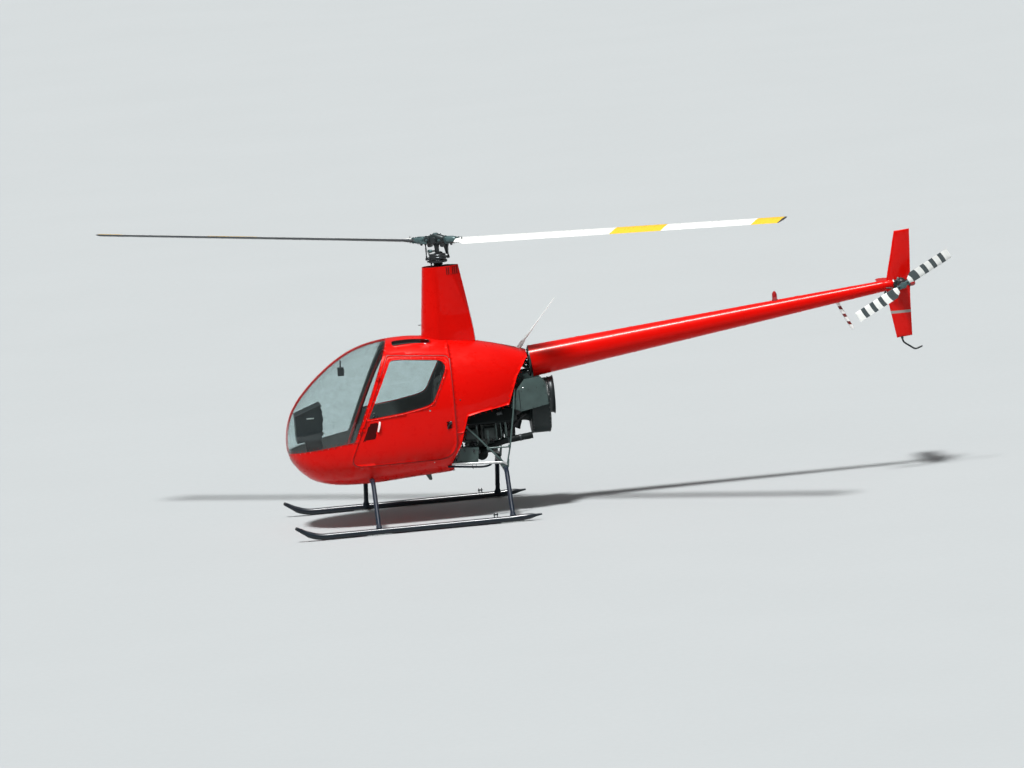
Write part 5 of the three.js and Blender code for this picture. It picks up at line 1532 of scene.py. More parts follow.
# Heights of the fan's axis and of the scroll's middle
FAN_AXIS, SCROLL_AXIS = 1068.0, 978.0


def fan_housing():
    form = Form()
    sides = 72
    turn = np.arange(sides) * 2 * math.pi / sides
    grow = 20 * np.clip(turn / (2 * math.pi * 0.93), 0, 1)
    grow -= 20 * np.clip((turn / (2 * math.pi) - 0.93) / 0.07, 0, 1)

    def around(x, inset, centre=SCROLL_AXIS, base=247.0):
        r = base + grow * (base > 200) - inset
        return np.stack([np.full(sides, x), r * np.cos(turn), centre + r * np.sin(turn)], -1)

    inlet = FAN_AXIS
    form.loft([around(753, 150), around(753, 22), around(755, 9), around(760, 3), around(768, 0),
               around(926, 0), around(934, 2), around(939, 8), around(942, 20), around(944, 0, inlet, 176)],
              caps=False)
    form.loft([around(944, 0, inlet, 176), around(960, 0, inlet, 171), around(978, 0, inlet, 174),
               around(990, 0, inlet, 181), around(995, 0, inlet, 186), around(996, 0, inlet, 184),
               around(988, 0, inlet, 175), around(972, 0, inlet, 168), around(800, 0, inlet, 168),
               around(796, 0, inlet, 60)], 1, caps=False)
    form.turned((640.5, 0, 898), (756, 0, 898), ((0, 40), (3, 46), (10, 50), (60, 52), (110, 66),
                                                 (115, 72)), 40)
    for x in (766, 928):
        ring = around(x, -1.5)
        form.loft([around(x - 5, -0.2), around(x - 4, -2.5), around(x + 4, -2.5), around(x + 5, -0.2)],
                  caps=False)
        for p in ring[::2]:
            n = unit(p - np.array((x, 0, SCROLL_AXIS)))
            form.turned(p - n * 2, p + n * 2, ((0, 3), (3, 2.6), (4, 1)), 6, 2)
    for k in range(10):
        a = k * math.pi / 5
        form.bolt((942, 214 * math.cos(a) * 0.98, inlet - 60 + 190 * math.sin(a) * 0.6 + 40),
                  (1, 0, 0), 4, 5, 2)
    # The scroll takes the darker shroud grey: painted shade.
    shown(form, "fan_scroll", [SHROUD_SHADE, DARK, STEEL], "airframe", ["fan_housing"],
          soften=1.0, angle=35)
    fan = Form()
    centre = np.array((0, 0, inlet))
    fan.turned((790.5, 0, inlet), (950, 0, inlet),
               ((0, 40), (4, 46), (20, 46), (80, 40), (130, 36), (140, 30), (150, 30), (152, 12),
                (160, 10)), 32)
    fan.turned((799, 0, inlet), (812, 0, inlet), ((0, 148), (2, 152), (6, 152), (13, 120)), 48)
    for k in range(16):
        a = k * math.pi / 8
        out, round_ = np.array((0, math.cos(a), math.sin(a))), np.array((0, -math.sin(a), math.cos(a)))
        rings = []
        for r in np.linspace(52, 151, 8):
            sweep = (r - 52) / 99 * 20
            rings.append([centre + out * r + round_ * (sweep + w) + np.array((x, 0, 0))
                          for x, w in ((810, -1.6), (884 - (r - 52) * 0.12, -1.4 + 9),
                                       (884 - (r - 52) * 0.12, 1.4 + 9), (810, 1.6))])
        fan.loft(rings)
    shown(fan, "cooling_fan_wheel", [CAST], "cooling_fan", ["cooling_fan"], soften=0.6)


SHROUD_INNER = ((560, 1014), (574, 1090), (622, 1180), (702, 1276), (858, 1286), (892, 1246), (914, 1020),
                (638, 972))
SHROUD_OUTER = ((638, 982), (634, 1090), (635, 1180), (652, 1188), (884, 1214), (902, 1216), (914, 1023),
                (642, 973))


def side_shrouds():
    for name, side in SIDES:
        form = Form()
        inner = [(x, side * 313, z) for x, z in SHROUD_INNER]
        lip = [(x, side * (352 if k in (3, 4) else 330), z) for k, (x, z) in enumerate(SHROUD_INNER)]
        outer = [(x, side * 371, z) for x, z in SHROUD_OUTER]
        form.loft([inner, lip, outer])
        # The block inside the duct is dark: painted shade.
        form.block((770, 880), sided(side, 172, 316), (1012, 1158), 1)
        corners = np.array(SHROUD_INNER, float)
        centre = corners.mean(0)
        rim = centre + (corners - centre) * 1.012
        rim_in = centre + (corners - centre) * 0.98
        form.loft([[(x, side * 318, z) for x, z in rim_in], [(x, side * 318, z) for x, z in rim],
                   [(x, side * 322, z) for x, z in rim], [(x, side * 322, z) for x, z in rim_in]], 0,
                  closed=True)
        for x, z in ((664, 1172), (730, 1180), (810, 1190), (880, 1200), (893, 1130), (900, 1045),
                     (850, 1016), (760, 1002), (660, 992), (652, 1080)):
            form.bolt((x, side * 371, z), (0, side, 0), 3.2, 3, 2)
        form.turned((680, side * 344, 1197), (680, side * 374, 1200), ((0, 6), (28, 6), (30, 3)), 10, 3)
        form.bolt((922, side * 340, 1112), (0.3, side, 0), 6, 8, 3)
        form.prism(((641, 976), (648, 977), (642, 1184), (635, 1183)), side * 371, side * 373, 1)
        shown(form, f"side_shroud_{name}_duct", [SHROUD, SHROUD_SHADE, DARK_STEEL, STEEL], "airframe",
              [f"side_shroud_{name}"], soften=3.0, angle=18)


def exhaust():
    form = Form()
    form.turned((250, -211, 581.7), (250, 211, 581.7),
                ((0, 30), (2, 42), (8, 52), (18, 57), (19, 59), (23, 59), (24, 57.5), (120, 57.5),
                 (121, 60), (133, 60), (134, 57.5), (288, 57.5), (289, 60), (301, 60), (302, 57.5),
                 (398, 57.5), (399, 59), (403, 59), (404, 57), (414, 52), (420, 42), (422, 30)), 40)
    for y in (-84, 84):
        form.tube([(250, y, 640), (250, y, 690)], 8, 10, 0, 1)
    form.tube([(250, -170, 590), (430, -300, 700), (741, -300, 732)], 31, 28, 90, caps=False)
    end, way = np.array((741.0, -300, 732)), unit((311, 0, 32))
    form.turned(end - way * 2, end, ((0, 32.5), (2, 32.5)), 28)
    form.turned(end - way * 70, end + way * 0.6, ((0, 27), (70.6, 27)), 24, 2)
    for at in (0.25, 0.62):
        p = np.array((430, -300, 700)) + (end - np.array((430, -300, 700))) * at
        form.turned(p - way * 8, p + way * 8, ((0, 32), (1, 34), (15, 34), (16, 32)), 28, 1)
    form.tube([(480, -300, 756), (470, -240, 800), (440, -120, 830)], 7, 10, 20, 1)
    # The muffler and its pipe take the near-black painted shade of the engine bay.
    shown(form, "muffler_and_pipe", [NEAR_BLACK_SHADE, DARK, SOOT], "airframe", ["muffler"], soften=0.6)
    box = Form()
    rows = [(36, 683, 8), (205, 667, 8), (192, 526, 8), (-19, 544)]
    box.prism(outline(rows, step=200), -429, -331)
    box.prism(((33, 672), (208, 656), (209, 676), (34, 692)), -433, -327)
    for x in (70, 160):
        z = 682 - (x - 36) * 0.095
        box.block((x - 9, x + 9), (-437, -430), (z - 34, z - 4), 1)
        box.turned((x, -437, z - 26), (x, -441, z - 26), ((0, 5), (4, 4)), 10, 1)
    for x in (30, 180):
        box.bolt((x, -430, 560), (0, -1, 0), 5, 4, 1)
    box.tube([(60, -380, 688), (50, -360, 740), (70, -260, 800), (96, -140, 790)], 8, 10, 30, 2)
    box.tube([(150, -380, 680), (150, -350, 730), (180, -250, 700), (200, -100, 690)], 8, 10, 30, 2)
    shown(box, "equipment_box", [SHROUD, DARK_STEEL, RUBBER], "airframe",
          ["equipment_panel"], soften=3.0, angle=30)


# Tail details

def tail_gearbox():
    form = Form()
    way = unit((1, 0, 0.1))
    base = np.array((4236.0, 0, boom_axis(4235)))
    form.turned(base + way * 108, base + way * 190,
                ((0, 40), (4, 47), (12, 47), (14, 40), (44, 43), (62, 40), (76, 30), (82, 16)), 32)
    form.block((4344, 4438), (-66, -20), (1786, 1848))
    form.turned((4380, 0, 1819), (4380, -80, 1819),
                ((0, 30), (6, 40), (30, 46), (60, 46), (70, 38), (80, 36)), 28)
    form.turned((4409, -16, 1824), (4409, -119.5, 1824),
                ((0, 44), (6, 52), (14, 52), (15, 44), (40, 42), (41, 50), (48, 50), (50, 40), (90, 36),
                 (96, 30), (103.5, 27)), 32)
    for k in range(6):
        a = k * math.pi / 3
        form.bolt((4409 + 46 * math.cos(a), -30, 1824 + 46 * math.sin(a)), (0, -1, 0), 4, 6, 1)
        form.bolt(base + way * 120 + np.array((0, 43 * math.cos(a), 43 * math.sin(a))), (1, 0, 0), 4, 6, 1)
    form.turned((4384, -46, 1846), (4384, -46, 1884), ((0, 9), (14, 9), (15, 12), (30, 12), (38, 6)), 12, 2)
    form.prism(((4340, 1762), (4446, 1768), (4446, 1790), (4344, 1796)), -44, -14)
    form.tube([(4262, -56, 1790), (4340, -78, 1784), (4384, -110, 1800)], 6, 10, 20, 1)
    shown(form, "tail_gearbox_case", [DARK_MACHINERY_AND_SHADE, DARK_STEEL, CAST], "airframe",
          ["tail_gearbox"], soften=2.0, angle=38)
    hub = Form()
    place = turn_about((0, 1, 0), -TAIL_TURN, TAIL_HUB)
    hub.turned((0, 129.7, 0), (0, -30, 0), ((0, 14), (60, 14), (62, 22), (76, 24), (80, 14), (104, 14),
                                            (108, 30), (154, 30), (156, 20), (159, 12)), 24)
    hub.loft([oval_ring(x, 12, -22, 22, 20) for x in (-62, -60, -30, 30, 60, 62)])
    for x in (-48, 48):
        hub.turned((x, -16, 0), (x, 16, 0), ((0, 6), (1, 10), (31, 10), (32, 6)), 12, 1)
        hub.turned((x * 1.05, 14, 20), (x * 0.7, 70, 24), ((0, 4), (6, 6), (50, 4), (58, 6)), 10, 1)
    hub.loft([oval_ring(x, 7, 16, 30, 16) for x in (-46, -44, 44, 46)], 1)
    shown(hub.turned_by(place), "tail_rotor_hub_block", [MACHINERY_LIGHT, DARK_STEEL], "tail_rotor",
          ["tail_rotor_hub"], soften=1.0, angle=38)


def tail_fittings():
    rod = Form()
    start, end = np.array((ROD_START, 0, boom_axis(ROD_START) - 62)), np.array((ROD_END[0], 0, ROD_END[1]))
    length = float(np.linalg.norm(end - start))
    rod.turned(start, end, ((0, 13), (1, 15.5), (length - 6, 15.5), (length, 9)), 24)
    shown(rod, "guard_rod_tube", [guard_stripes()], "airframe", ["guard_rod"])
    skid = Form()
    skid.tube([(4384, 0, 1296), (4392, 0, 1250), (4502, 0, 1170), (4564, 0, 1193)], 8.5, 16, 26)
    skid.turned((4560, 0, 1191.5), (4574, 0, 1196.5), ((0, 8.5), (4, 8.5), (12, 6), (15, 2)), 16)
    skid.turned((4384, 0, 1306), (4384, 0, 1284), ((0, 13), (18, 13), (22, 10)), 16)
    shown(skid, "tail_skid_tube", [DARK], "airframe", ["tail_skid"])
    light = Form()
    light.tube([(4466, -10, 1840), (4484, -10, 1836), (4492, -10, 1812), (4500, -10, 1808)], 12, 16, 12, 1)
    light.turned((4486, -10, 1808), (4502, -10, 1808), ((0, 20), (2, 25), (16, 26)), 28, 1)
    light.turned((4502, -10, 1808), (4552, -10, 1808),
                 ((0, 25), (12, 26), (13, 27.5), (17, 27.5), (18, 26), (32, 24), (42, 18), (48, 10),
                  (50, 2)), 28)
    shown(light, "tail_light_lens", [LENS, DARK_STEEL], "airframe", ["tail_light"])
    beacon = Form()
    foot = boom_axis(3190) + 80
    beacon.turned((3190, 0, foot - 6), (3190, 0, foot + 94),
                  ((0, 34), (8, 34), (10, 30), (18, 30), (19, 25), (24, 25.5), (28, 25), (32, 25.5),
                   (36, 25), (40, 25.5), (44, 25), (62, 24), (80, 20), (92, 12), (99, 3)), 28, 0)
    shown(beacon, "beacon_lens", [LENS], "airframe", ["beacon"])
    whip = Form()
    whip.tube([(690, 0, 1536), (748, 0, 1604), (860, 0, 1734), (1082, 0, 1990)],
              [21, 18, 11.5, 7.6, 5, 3.6], 20, 20)
    whip.turned((684, 0, 1528), (698, 0, 1545), ((0, 32), (6, 30), (16, 24), (22, 20)), 24)
    shown(whip, "whip_antenna_rod", [WHITE], "airframe", ["whip_antenna"])
    blade = Form()
    rings = []
    for z, lead, trail in ((445, -310, -240), (430, -306, -240), (380, -276, -236), (360, -264, -233),
                           (356, -260, -236)):
        rings.append([(lead + (trail - lead) * t, h * 34 * 2, z) for t, h in section_loop(10, 0.18)])
    blade.loft(rings)
    blade.loft([[(-275 + 46 * math.cos(a), 14 * math.sin(a), z) for a in np.arange(24) * math.pi / 12]
                for z in (424, 437)])
    shown(blade, "belly_antenna_blade", [FRAME_PAINT], "airframe", ["belly_antenna"])
    pitot = Form()
    pitot.turned((-208, 0, 1850), (-242, 0, 1850),
                 ((0, 7), (3, 7), (4, 4.4), (24, 4.4), (32, 3), (34, 1.6)), 16)
    shown(pitot, "pitot_probe", [DARK_STEEL], "airframe", ["pitot_tube"])
    bracket = Form()
    bracket.block((4196, 4420), (-22, 60), (1798, 1826))
    bracket.turned((4250, 0, 1700), (4260, 0, 1760), ((0, 10), (60, 10)), 12)
    shown(bracket, "stabilizer_bracket", [MACHINERY], "airframe", soften=3.0)


# The guard rod's place where it leaves the boom, its end (x, z), and its pairs of bands
ROD_START, ROD_END, ROD_BANDS = 3785, (3916.0, 1424), 3.5


def guard_stripes():
    """White and dark red bands along the guard rod, by height."""
    material = finish("guard_rod_bands", (0.8, 0.8, 0.78), 0.36, cloud=(6.0, 0.04), grain=(300.0, 0.0001))
    tree = material.node_tree
    low, high = ROD_END[1] / 1000, boom_axis(ROD_START) / 1000 - 0.06
    bands = spread(tree, height_in(material), low, high, 0.0, ROD_BANDS)
    step = add(tree, "Math", {0: bands, 1: 1.0}, operation="MODULO").outputs[0]
    red = add(tree, "Math", {0: step, 1: 0.58}, operation="GREATER_THAN").outputs[0]
    return paint_over(material, red, (0.16, 0.008, 0.008))


# Small fittings on the skin

def on_skin(x, z, side, lift=0.0):
    """A point of the skin given in side view, its normal and the aft way along it."""
    u, phi, _ = side_reach(np.array([float(x)]), np.array([float(z)]))
    place, normal, along, _ = skin(u, phi)
    flip = np.array((1, side, 1.0))
    n = normal[0] * flip
    return place[0] * flip + n * lift, n, unit(along[0] * flip)


def patch(form, rows, side, raised=0.8, thick=3.0, mark=0, holes=()):
    """A small cover that follows the skin, given in side view."""
    loop, *cuts = [on_side(side_line(line, closed=True), side) for line in (rows, *holes)]
    start = len(form.faces)
    panel(form, loop, cuts, thick=thick, grid=16, inner_mark=mark, raised=raised)
    for k in range(start, len(form.faces)):
        form.marks[k] = mark
    return form


def grown(rows, by):
    """An outline with each side moved off by a distance, corner radii kept."""
    points = np.array([row[:2] for row in rows], float)
    x, z = points.T
    sense = np.sign(np.sum(x * np.roll(z, -1) - np.roll(x, -1) * z))
    made = []
    for i in range(len(points)):
        a, b, c = points[i - 1], points[i], points[(i + 1) % len(points)]
        d0, d1 = unit(b - a), unit(c - b)
        n0, n1 = (np.array((d[1], -d[0])) * sense for d in (d0, d1))
        corner = b + (n0 + n1) * by / max(1 + n0 @ n1, 0.3)
        made.append((*corner, *rows[i][2:]))
    return made


def rounded_box(x0, x1, z0, z1, radius=10):
    return [(x0, z0, radius), (x1, z0, radius), (x1, z1, radius), (x0, z1, radius)]


def door_fittings():
    for name, side in SIDES:
        form = Form()
        recess = rounded_box(-92, -26, 888, 976, 16)
        # The handle recess is near black: painted shade.
        patch(form, recess, side, 0.5, 3, 3)
        patch(form, grown(recess, 5), side, 1.4, 3, 0, [grown(recess, -2)])
        p, n, aft = on_skin(-44, 952, side, 3)
        form.tube([p, p + n * 6, p + n * 9 - aft * 34 + np.array((0, 0, -30)),
                   p + n * 8 - aft * 36 + (0, 0, -52)], 5.5, 10, 8, 5)
        form.turned(p - n * 3, p + n * 9, ((0, 12), (9, 12), (12, 9)), 18, 5)
        p, n, _ = on_skin(-233, 1088, side)
        form.turned(p - n, p + n * 3, ((0, 8.5), (3, 8.5), (4, 6.5)), 18, 2)
        form.turned(p + n * 3, p + n * 3.6, ((0, 2.5), (0.6, 2.5)), 8, 1)
        vent = [(-816, 1029, 8), (-722, 1032, 8), (-765, 850, 8), (-905, 842, 8)]
        # The vent's opening is near black: painted shade.
        patch(form, vent, side, 0.4, 3, 3)
        patch(form, grown(vent, 6), side, 1.3, 3, 0, [grown(vent, -1)])
        vent_flap(form, side)
        inner, n, aft = on_skin(-120, 900, side, -32)
        form.tube([inner, inner - n * 22, inner - n * 24 - aft * 90, inner - n * 2 - aft * 96], 6,
                  10, 14, 1)
        patch(form, rounded_box(-560, -180, 720, 880, 24), side, -31, 6, 1)
        shown(form, f"door_{name}_fittings", [PAINT, PLASTIC, STEEL, DOOR_HOLLOW_SHADE, FLAP_GLINT, DARK_STEEL],
              f"door_{name}", angle=40)
        seal = Form()
        frame_round(seal, DOOR, side, 16, 16, thick=4, raised=-33.5)
        shown(seal, f"door_{name}_seal", [SEAL], "airframe")
        trim = Form()
        frame_round(trim, WINDOW, side, 7, 9, thick=2.0, raised=1.5)
        shown(trim, f"door_window_{name}_trim", [PAINT], f"door_{name}")


def frame_round(form, rows, side, outside, inside, thick, raised):
    """A narrow strip along an outline, reaching outside and inside it."""
    outer, inner = (on_side(side_line(grown(rows, by), closed=True), side) for by in (outside, -inside))
    panel(form, outer, [inner], thick=thick, grid=60, inner_mark=0, raised=raised)


def vent_flap(form, side):
    """The small air door, open: its rear edge stands off the skin, and the flap is near white, a painted
    reflection of the light.
    """
    top, n, _ = on_skin(-724, 1028, side, 2)
    low, n2, _ = on_skin(-748, 932, side, 2)
    lean = unit(low - top)
    out = unit(n + n2)
    aft = unit(np.cross(lean, out))
    if aft[0] < 0:
        aft = -aft
    rings = []
    for t in np.linspace(0, 1, 9):
        at = top + (low - top) * t
        bulge = math.sin(math.pi * min(max(t, 0.08), 0.92)) ** 0.5
        rings.append([at - aft * 2, at + aft * 3, at + aft * (10 + 8 * bulge) + out * 26 * bulge,
                      at + aft * (6 + 8 * bulge) + out * 28 * bulge])
    form.loft(rings, 4)


def skin_fittings():
    form = Form()
    for side in (-1, 1):
        p, n, _ = on_skin(64, 1159, side)
        form.turned(p - n, p + n * 2.4, ((0, 8), (2, 8), (3.4, 6)), 16, 2)
        p, n, _ = on_skin(-228, 582, side)
        form.turned(p - n, p + n * 2.2, ((0, 6), (2, 5.5), (3.2, 4)), 12, 1)
        place, normal, _, _ = skin(6.6, math.radians(-74))
        lamp, n = place[0] * (1, side, 1), normal[0] * (1, side, 1)
        form.turned(lamp - n * 2, lamp + n * 2.5, ((0, 37), (3, 37), (4.5, 33)), 36, 1)
        form.turned(lamp + n * 1.5, lamp + n * 6, ((0, 31), (1.5, 30), (3, 24), (4.5, 10)), 32, 3)
        p, n, _ = on_skin(-203, 1696, side)
        form.turned(p - n, p + n * 6, ((0, 12), (4, 11), (7, 6)), 16, 1)
    shown(form, "skin_fittings", [PAINT, STEEL, SEAM_LINE, LAMP], "airframe", angle=40)
    inner = Form()
    for z in (560, 700, 860, 1000, 1200, 1400):
        inner.block((33, 40), (-380, 380) if z > 540 else (-300, 300), (z - 8, z + 8))
    for y in (-300, -100, 100, 300):
        inner.block((33, 38), (y - 6, y + 6), (540, 1500))
    shown(inner, "firewall_ribs", [CAST], "airframe", soften=1.5)


# Cabin

def cabin_fittings():
    head = Form()
    rows = [(-1500, 1100, 26), (-1262, 1186, 16), (-1238, 1086, 10), (-1262, 867), (-1500, 840)]
    head.prism(outline(rows, step=60), -150, 150)
    head.prism(outline([(-1504, 1100, 6), (-1255, 1192, 6), (-1236, 1178, 4), (-1262, 1174, 4),
                        (-1500, 1088, 4)], step=60), -157, 157)
    head.prism(outline([(-1424, 862, 8), (-1268, 870, 8), (-1200, 474), (-1392, 530)], step=60), -85, 85)
    head.block((-1392, -1322), (-153, -148), (1066, 1076), 2)
    head.block((-1392, -1322), (148, 153), (1066, 1076), 2)
    dials(head)
    head.block((-1262, -1244), (-66, 66), (884, 922), 3)
    head.block((-1259, -1240), (-66, 66), (936, 962), 3)
    for y in (-50, -20, 20, 50):
        head.turned((-1246, y, 903), (-1232, y, 903), ((0, 7), (10, 7), (14, 5)), 14, 2)
    shown(head, "console_body", [PLASTIC, DIAL_FACE, LIGHT_MARK, DARK], "airframe",
          ["instrument_console"], soften=4.0, angle=30)
    stick = Form()
    stick.tube([(-760, 0, 402), (-760, 0, 700), (-720, 0, 1010)], 15, 20, 90)
    stick.tube([(-720, -296, 985), (-720, -120, 1000), (-720, 0, 1012), (-720, 120, 1000),
                (-720, 296, 985)], 10.5, 18, 60)
    stick.turned((-720, -24, 1010), (-720, 24, 1010), ((0, 16), (2, 20), (46, 20), (48, 16)), 20)
    corrugated(stick, [(-760, 0, 410), (-760, 0, 500)], 38, 12, 1)
    for y in (-300, 300):
        stick.tube([(-721, y, 1006), (-719, y, 960), (-714, y, 920), (-711, y, 876)],
                   [12, 16, 15, 17, 15.5, 16.5, 15], 20, 14, 1)
        stick.turned((-736, y, 976), (-728, y, 976), ((0, 5), (7, 5)), 12, 2)
        stick.turned((-722, y, 1004), (-722, y, 1014), ((0, 11), (7, 11), (10, 6)), 16, 2)
    shown(stick, "cyclic_stick", [DARK, RUBBER, STEEL], "airframe", ["cyclic_bar"],
          soften=0.8)
    floor = Form()
    for y in (-482, 0):
        floor.tube([(-470, y, 668), (-560, y, 700), (-840, y, 780)], 10, 16, 40)
        floor.tube([(-720, y, 746), (-850, y, 783)], 16, 18, 0, 1)
    for y in (-300, -200, 200, 300):
        floor.tube([(-1150, y, 500), (-1230, y, 520), (-1290, y, 600)], 9, 12, 30)
        floor.block((-1306, -1292), (y - 38, y + 38), (570, 650), 1)
        for k in range(4):
            floor.block((-1292, -1288), (y - 36, y + 36), (580 + k * 18, 586 + k * 18), 1)
    floor.tube([(-1150, -320, 500), (-1150, 320, 500)], 10, 14)
    for side in (-1, 1):
        floor.block((-1060, -640), sided(side, 110, 300), (474, 480), 1)
        for k in range(10):
            floor.block((-1050 + k * 40, -1034 + k * 40), sided(side, 118, 292), (479, 483), 1)
    shown(floor, "pedals_and_levers", [DARK, RUBBER], "airframe", soften=1.0)
    compass = Form()
    compass.block((-1050, -990), (-25.5, 25.5), (1436, 1518))
    compass.turned((-1020, 0, 1516), (-1014, 0, 1585), ((0, 7), (68, 7)), 12)
    compass.turned((-988, 0, 1478), (-984, 0, 1478), ((0, 22), (4, 20)), 24, 1)
    shown(compass, "compass", [PLASTIC, DIAL_FACE], "airframe", soften=6.0)


def dials(form):
    """Round instruments on the console's rear faces: a bezel, a face, tick marks and a needle each."""
    upper_normal, lower_normal = unit((0.97, 0, 0.236)), unit((0.994, 0, -0.11))
    spots = [((-1249, y, 1136), upper_normal, 34, t) for y, t in ((-96, 0.7), (0, 2.2), (96, 4.0))]
    spots += [((-1242, y, 1046), lower_normal, 31, t)
              for y, t in ((-108, 1.5), (-36, 5.1), (36, 0.4), (108, 3.3))]
    spots += [((-1250, y, 988), lower_normal, 22, t)
              for y, t in ((-108, 2.5), (-54, 1.1), (0, 4.4), (54, 0.9), (108, 5.6))]
    for at, n, r, turn in spots:
        at = np.array(at, float)
        side = np.array((0, 1.0, 0))
        up = unit(np.cross(n, side))
        form.turned(at - n * 4, at + n * 8, ((0, r), (9, r), (11, r - 2), (12, r - 5)), 32, 3)
        form.turned(at + n * 6, at + n * 8.4, ((0, r - 5), (2.4, r - 5)), 32, 1)
        for k in range(12):
            a = k * math.pi / 6
            way = side * math.cos(a) + up * math.sin(a)
            across = np.cross(n, way)
            q = at + n * 8.3 + way * (r - 9)
            form.loft([[q + way * s * 2.6 + across * w for w in (-0.7, 0.7)] +
                       [q + way * s * 2.6 + across * w + n * 0.6 for w in (0.7, -0.7)] for s in (-1, 1)], 2)
        way = side * math.cos(turn) + up * math.sin(turn)
        across = np.cross(n, way)
        q = at + n * 8.5
        form.loft([[p + across * w, p - across * w, p - across * w + n, p + across * w + n]
                   for p, w in ((q - way * 5, 1.6), (q + way * (r - 11), 0.4))], 2)


def swollen(node, name, cap=0.02):
    """A cushion blown up from its CAD solid by a short cloth run."""
    piece = bpy.data.objects.new(name, node.data.copy())
    piece.matrix_world = node.matrix_world.copy()
    bpy.context.scene.collection.objects.link(piece)
    piece.data.materials.clear()
    remesh = piece.modifiers.new("remesh", "REMESH")
    remesh.mode = "VOXEL"
    remesh.voxel_size = 0.0075
    piece.data = evaluated(piece)
    piece.modifiers.clear()
    count = len(piece.data.vertices)
    points, normals = np.empty(count * 3), np.empty(count * 3)
    piece.data.vertices.foreach_get("co", points)
    piece.data.vertices.foreach_get("normal", normals)
    start = (points - normals * 0.011).reshape(-1, 3)
    piece.data.vertices.foreach_set("co", start.ravel())
    piece.data.update()
    cloth = piece.modifiers.new("cloth", "CLOTH")
    cloth.settings.use_pressure = True
    cloth.settings.uniform_pressure_force = 4.0
    cloth.settings.effector_weights.gravity = 0.0
    cloth.point_cache.frame_end = 20
    for step in range(1, 21):
        bpy.context.scene.frame_set(step)
    made = evaluated(piece)
    end = np.empty(count * 3)
    made.vertices.foreach_get("co", end)
    bpy.context.scene.frame_set(1)
    piece.modifiers.clear()
    move = end.reshape(-1, 3) - start
    far = np.linalg.norm(move, axis=1, keepdims=True)
    return piece, start + move * np.minimum(1, cap / np.maximum(far, 1e-9))


def evaluated(piece):
    bpy.context.view_layer.update()
    return bpy.data.meshes.new_from_object(piece.evaluated_get(bpy.context.evaluated_depsgraph_get()))


def cushions():
    """The two port cushions are made once and mirrored to starboard. Sewn channels are pressed in last."""
    for part, lines, axis in (("seat_cushion", (-0.30, -0.42), "x"),
                              ("back_cushion", (0.90, 1.05, 1.20), "z")):
        piece, points = swollen(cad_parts[f"{part}_left"], f"{part}_left_pad")
        middle = np.array((0, -0.244, 0))
        to_row = MAST / 1000
        across = np.abs(points[:, 1] - middle[1])
        push = np.zeros(len(points))
        for at in lines:
            value = points[:, 0] - to_row[0] if axis == "x" else points[:, 2]
            push += np.exp(-((value - at) / 0.009) ** 2) * 0.007
        push += np.exp(-((across - 0.165) / 0.009) ** 2) * 0.005
        centre = points.mean(0)
        face = (points[:, 2] > centre[2] + 0.012) if axis == "x" else (
            points[:, 0] < np.interp(points[:, 2], (0.76, 1.33), (-0.186, -0.092)) + to_row[0] + 0.03)
        outward = np.array((0, 0, 1)) if axis == "x" else np.array((-1, 0, 0))
        points = points - np.where(face, push, 0)[:, None] * outward
        piece.data.vertices.foreach_set("co", points.ravel())
        piece.data.update()
        piece.data.shade_smooth()
        other = bpy.data.objects.new(f"{part}_right_pad", piece.data.copy())
        other.matrix_world = piece.matrix_world.copy()
        bpy.context.scene.collection.objects.link(other)
        other.data.transform(Matrix.Scale(-1, 4, (0, 1, 0)))
        other.data.flip_normals()
        for pad, name in ((piece, f"{part}_left"), (other, f"{part}_right")):
            pad.data.materials.clear()
            pad.data.materials.append(CLOTH)
            fine = pad.modifiers.new("fine", "SUBSURF")
            fine.levels = fine.render_levels = 1
            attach(pad, "airframe")
            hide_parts(name)


def strap(form, path, width, normals, mark=0, thick=2.2):
    """Flat webbing along a path."""
    path = rounded_path(path, 30)
    at = np.linspace(0, 1, len(path))
    normals = unit(sampled(at, np.linspace(0, 1, len(normals)), np.array(normals, float)))
    ahead = unit(np.gradient(path, axis=0))
    across = unit(np.cross(normals, ahead)) * width / 2
    return form.loft([[p - a, p + a, p + a + n * thick, p - a + n * thick]
                      for p, a, n in zip(path, across, normals)], mark)


def harness():
    form = Form()
    for side in (-1, 1):
        y = side * 244
        inner, outer = y - side * 100, y + side * 150
        strap(form, [(-92, outer, 1336), (-104, outer, 1300), (-190, outer - side * 30, 900),
                     (-204, y - side * 40, 790), (-262, inner, 752)], 46,
              [(-0.3, 0, 1), (-1, 0, 0.1), (-1, 0, 0.2), (-0.7, 0, 0.7), (-0.2, 0, 1)])
        strap(form, [(-178, y - side * 190, 738), (-230, y - side * 170, 752), (-290, y - side * 40, 758),
                     (-300, y + side * 60, 758), (-240, y + side * 170, 752), (-180, y + side * 200, 740)],
              46, [(0, 0, 1), (0, 0, 1), (0, 0, 1)])
        form.block((-318, -268), (y - 74, y - 26), (756, 770), 1)
        form.block((-306, -280), (y - 66, y - 40), (769, 773), 2)
    shown(form, "harness", [WEBBING, STEEL, PLASTIC], "airframe")


# Finishes for the CAD nodes that stay shown

def carried_nodes():
    for name, material in (("firewall", STEEL), ("seat_base", TRIM)):
        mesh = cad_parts[name].data
        mesh.materials.clear()
        mesh.materials.append(material)
        for polygon in mesh.polygons:
            polygon.material_index = 0


# Camera, floor and light

TO_NOSE, ELEVATION, ROLL = math.radians(3.97), math.radians(6.78), math.radians(4.95)
FRAME_WIDTH, DISTANCE, SENSOR = 9.78, 100.0, 36.0
# The middle of the view from the rotor hub, to the right and up, in metres
AIM_RIGHT, AIM_UP = 0.6045, -1.4329
FLOOR_HALF = 160.0
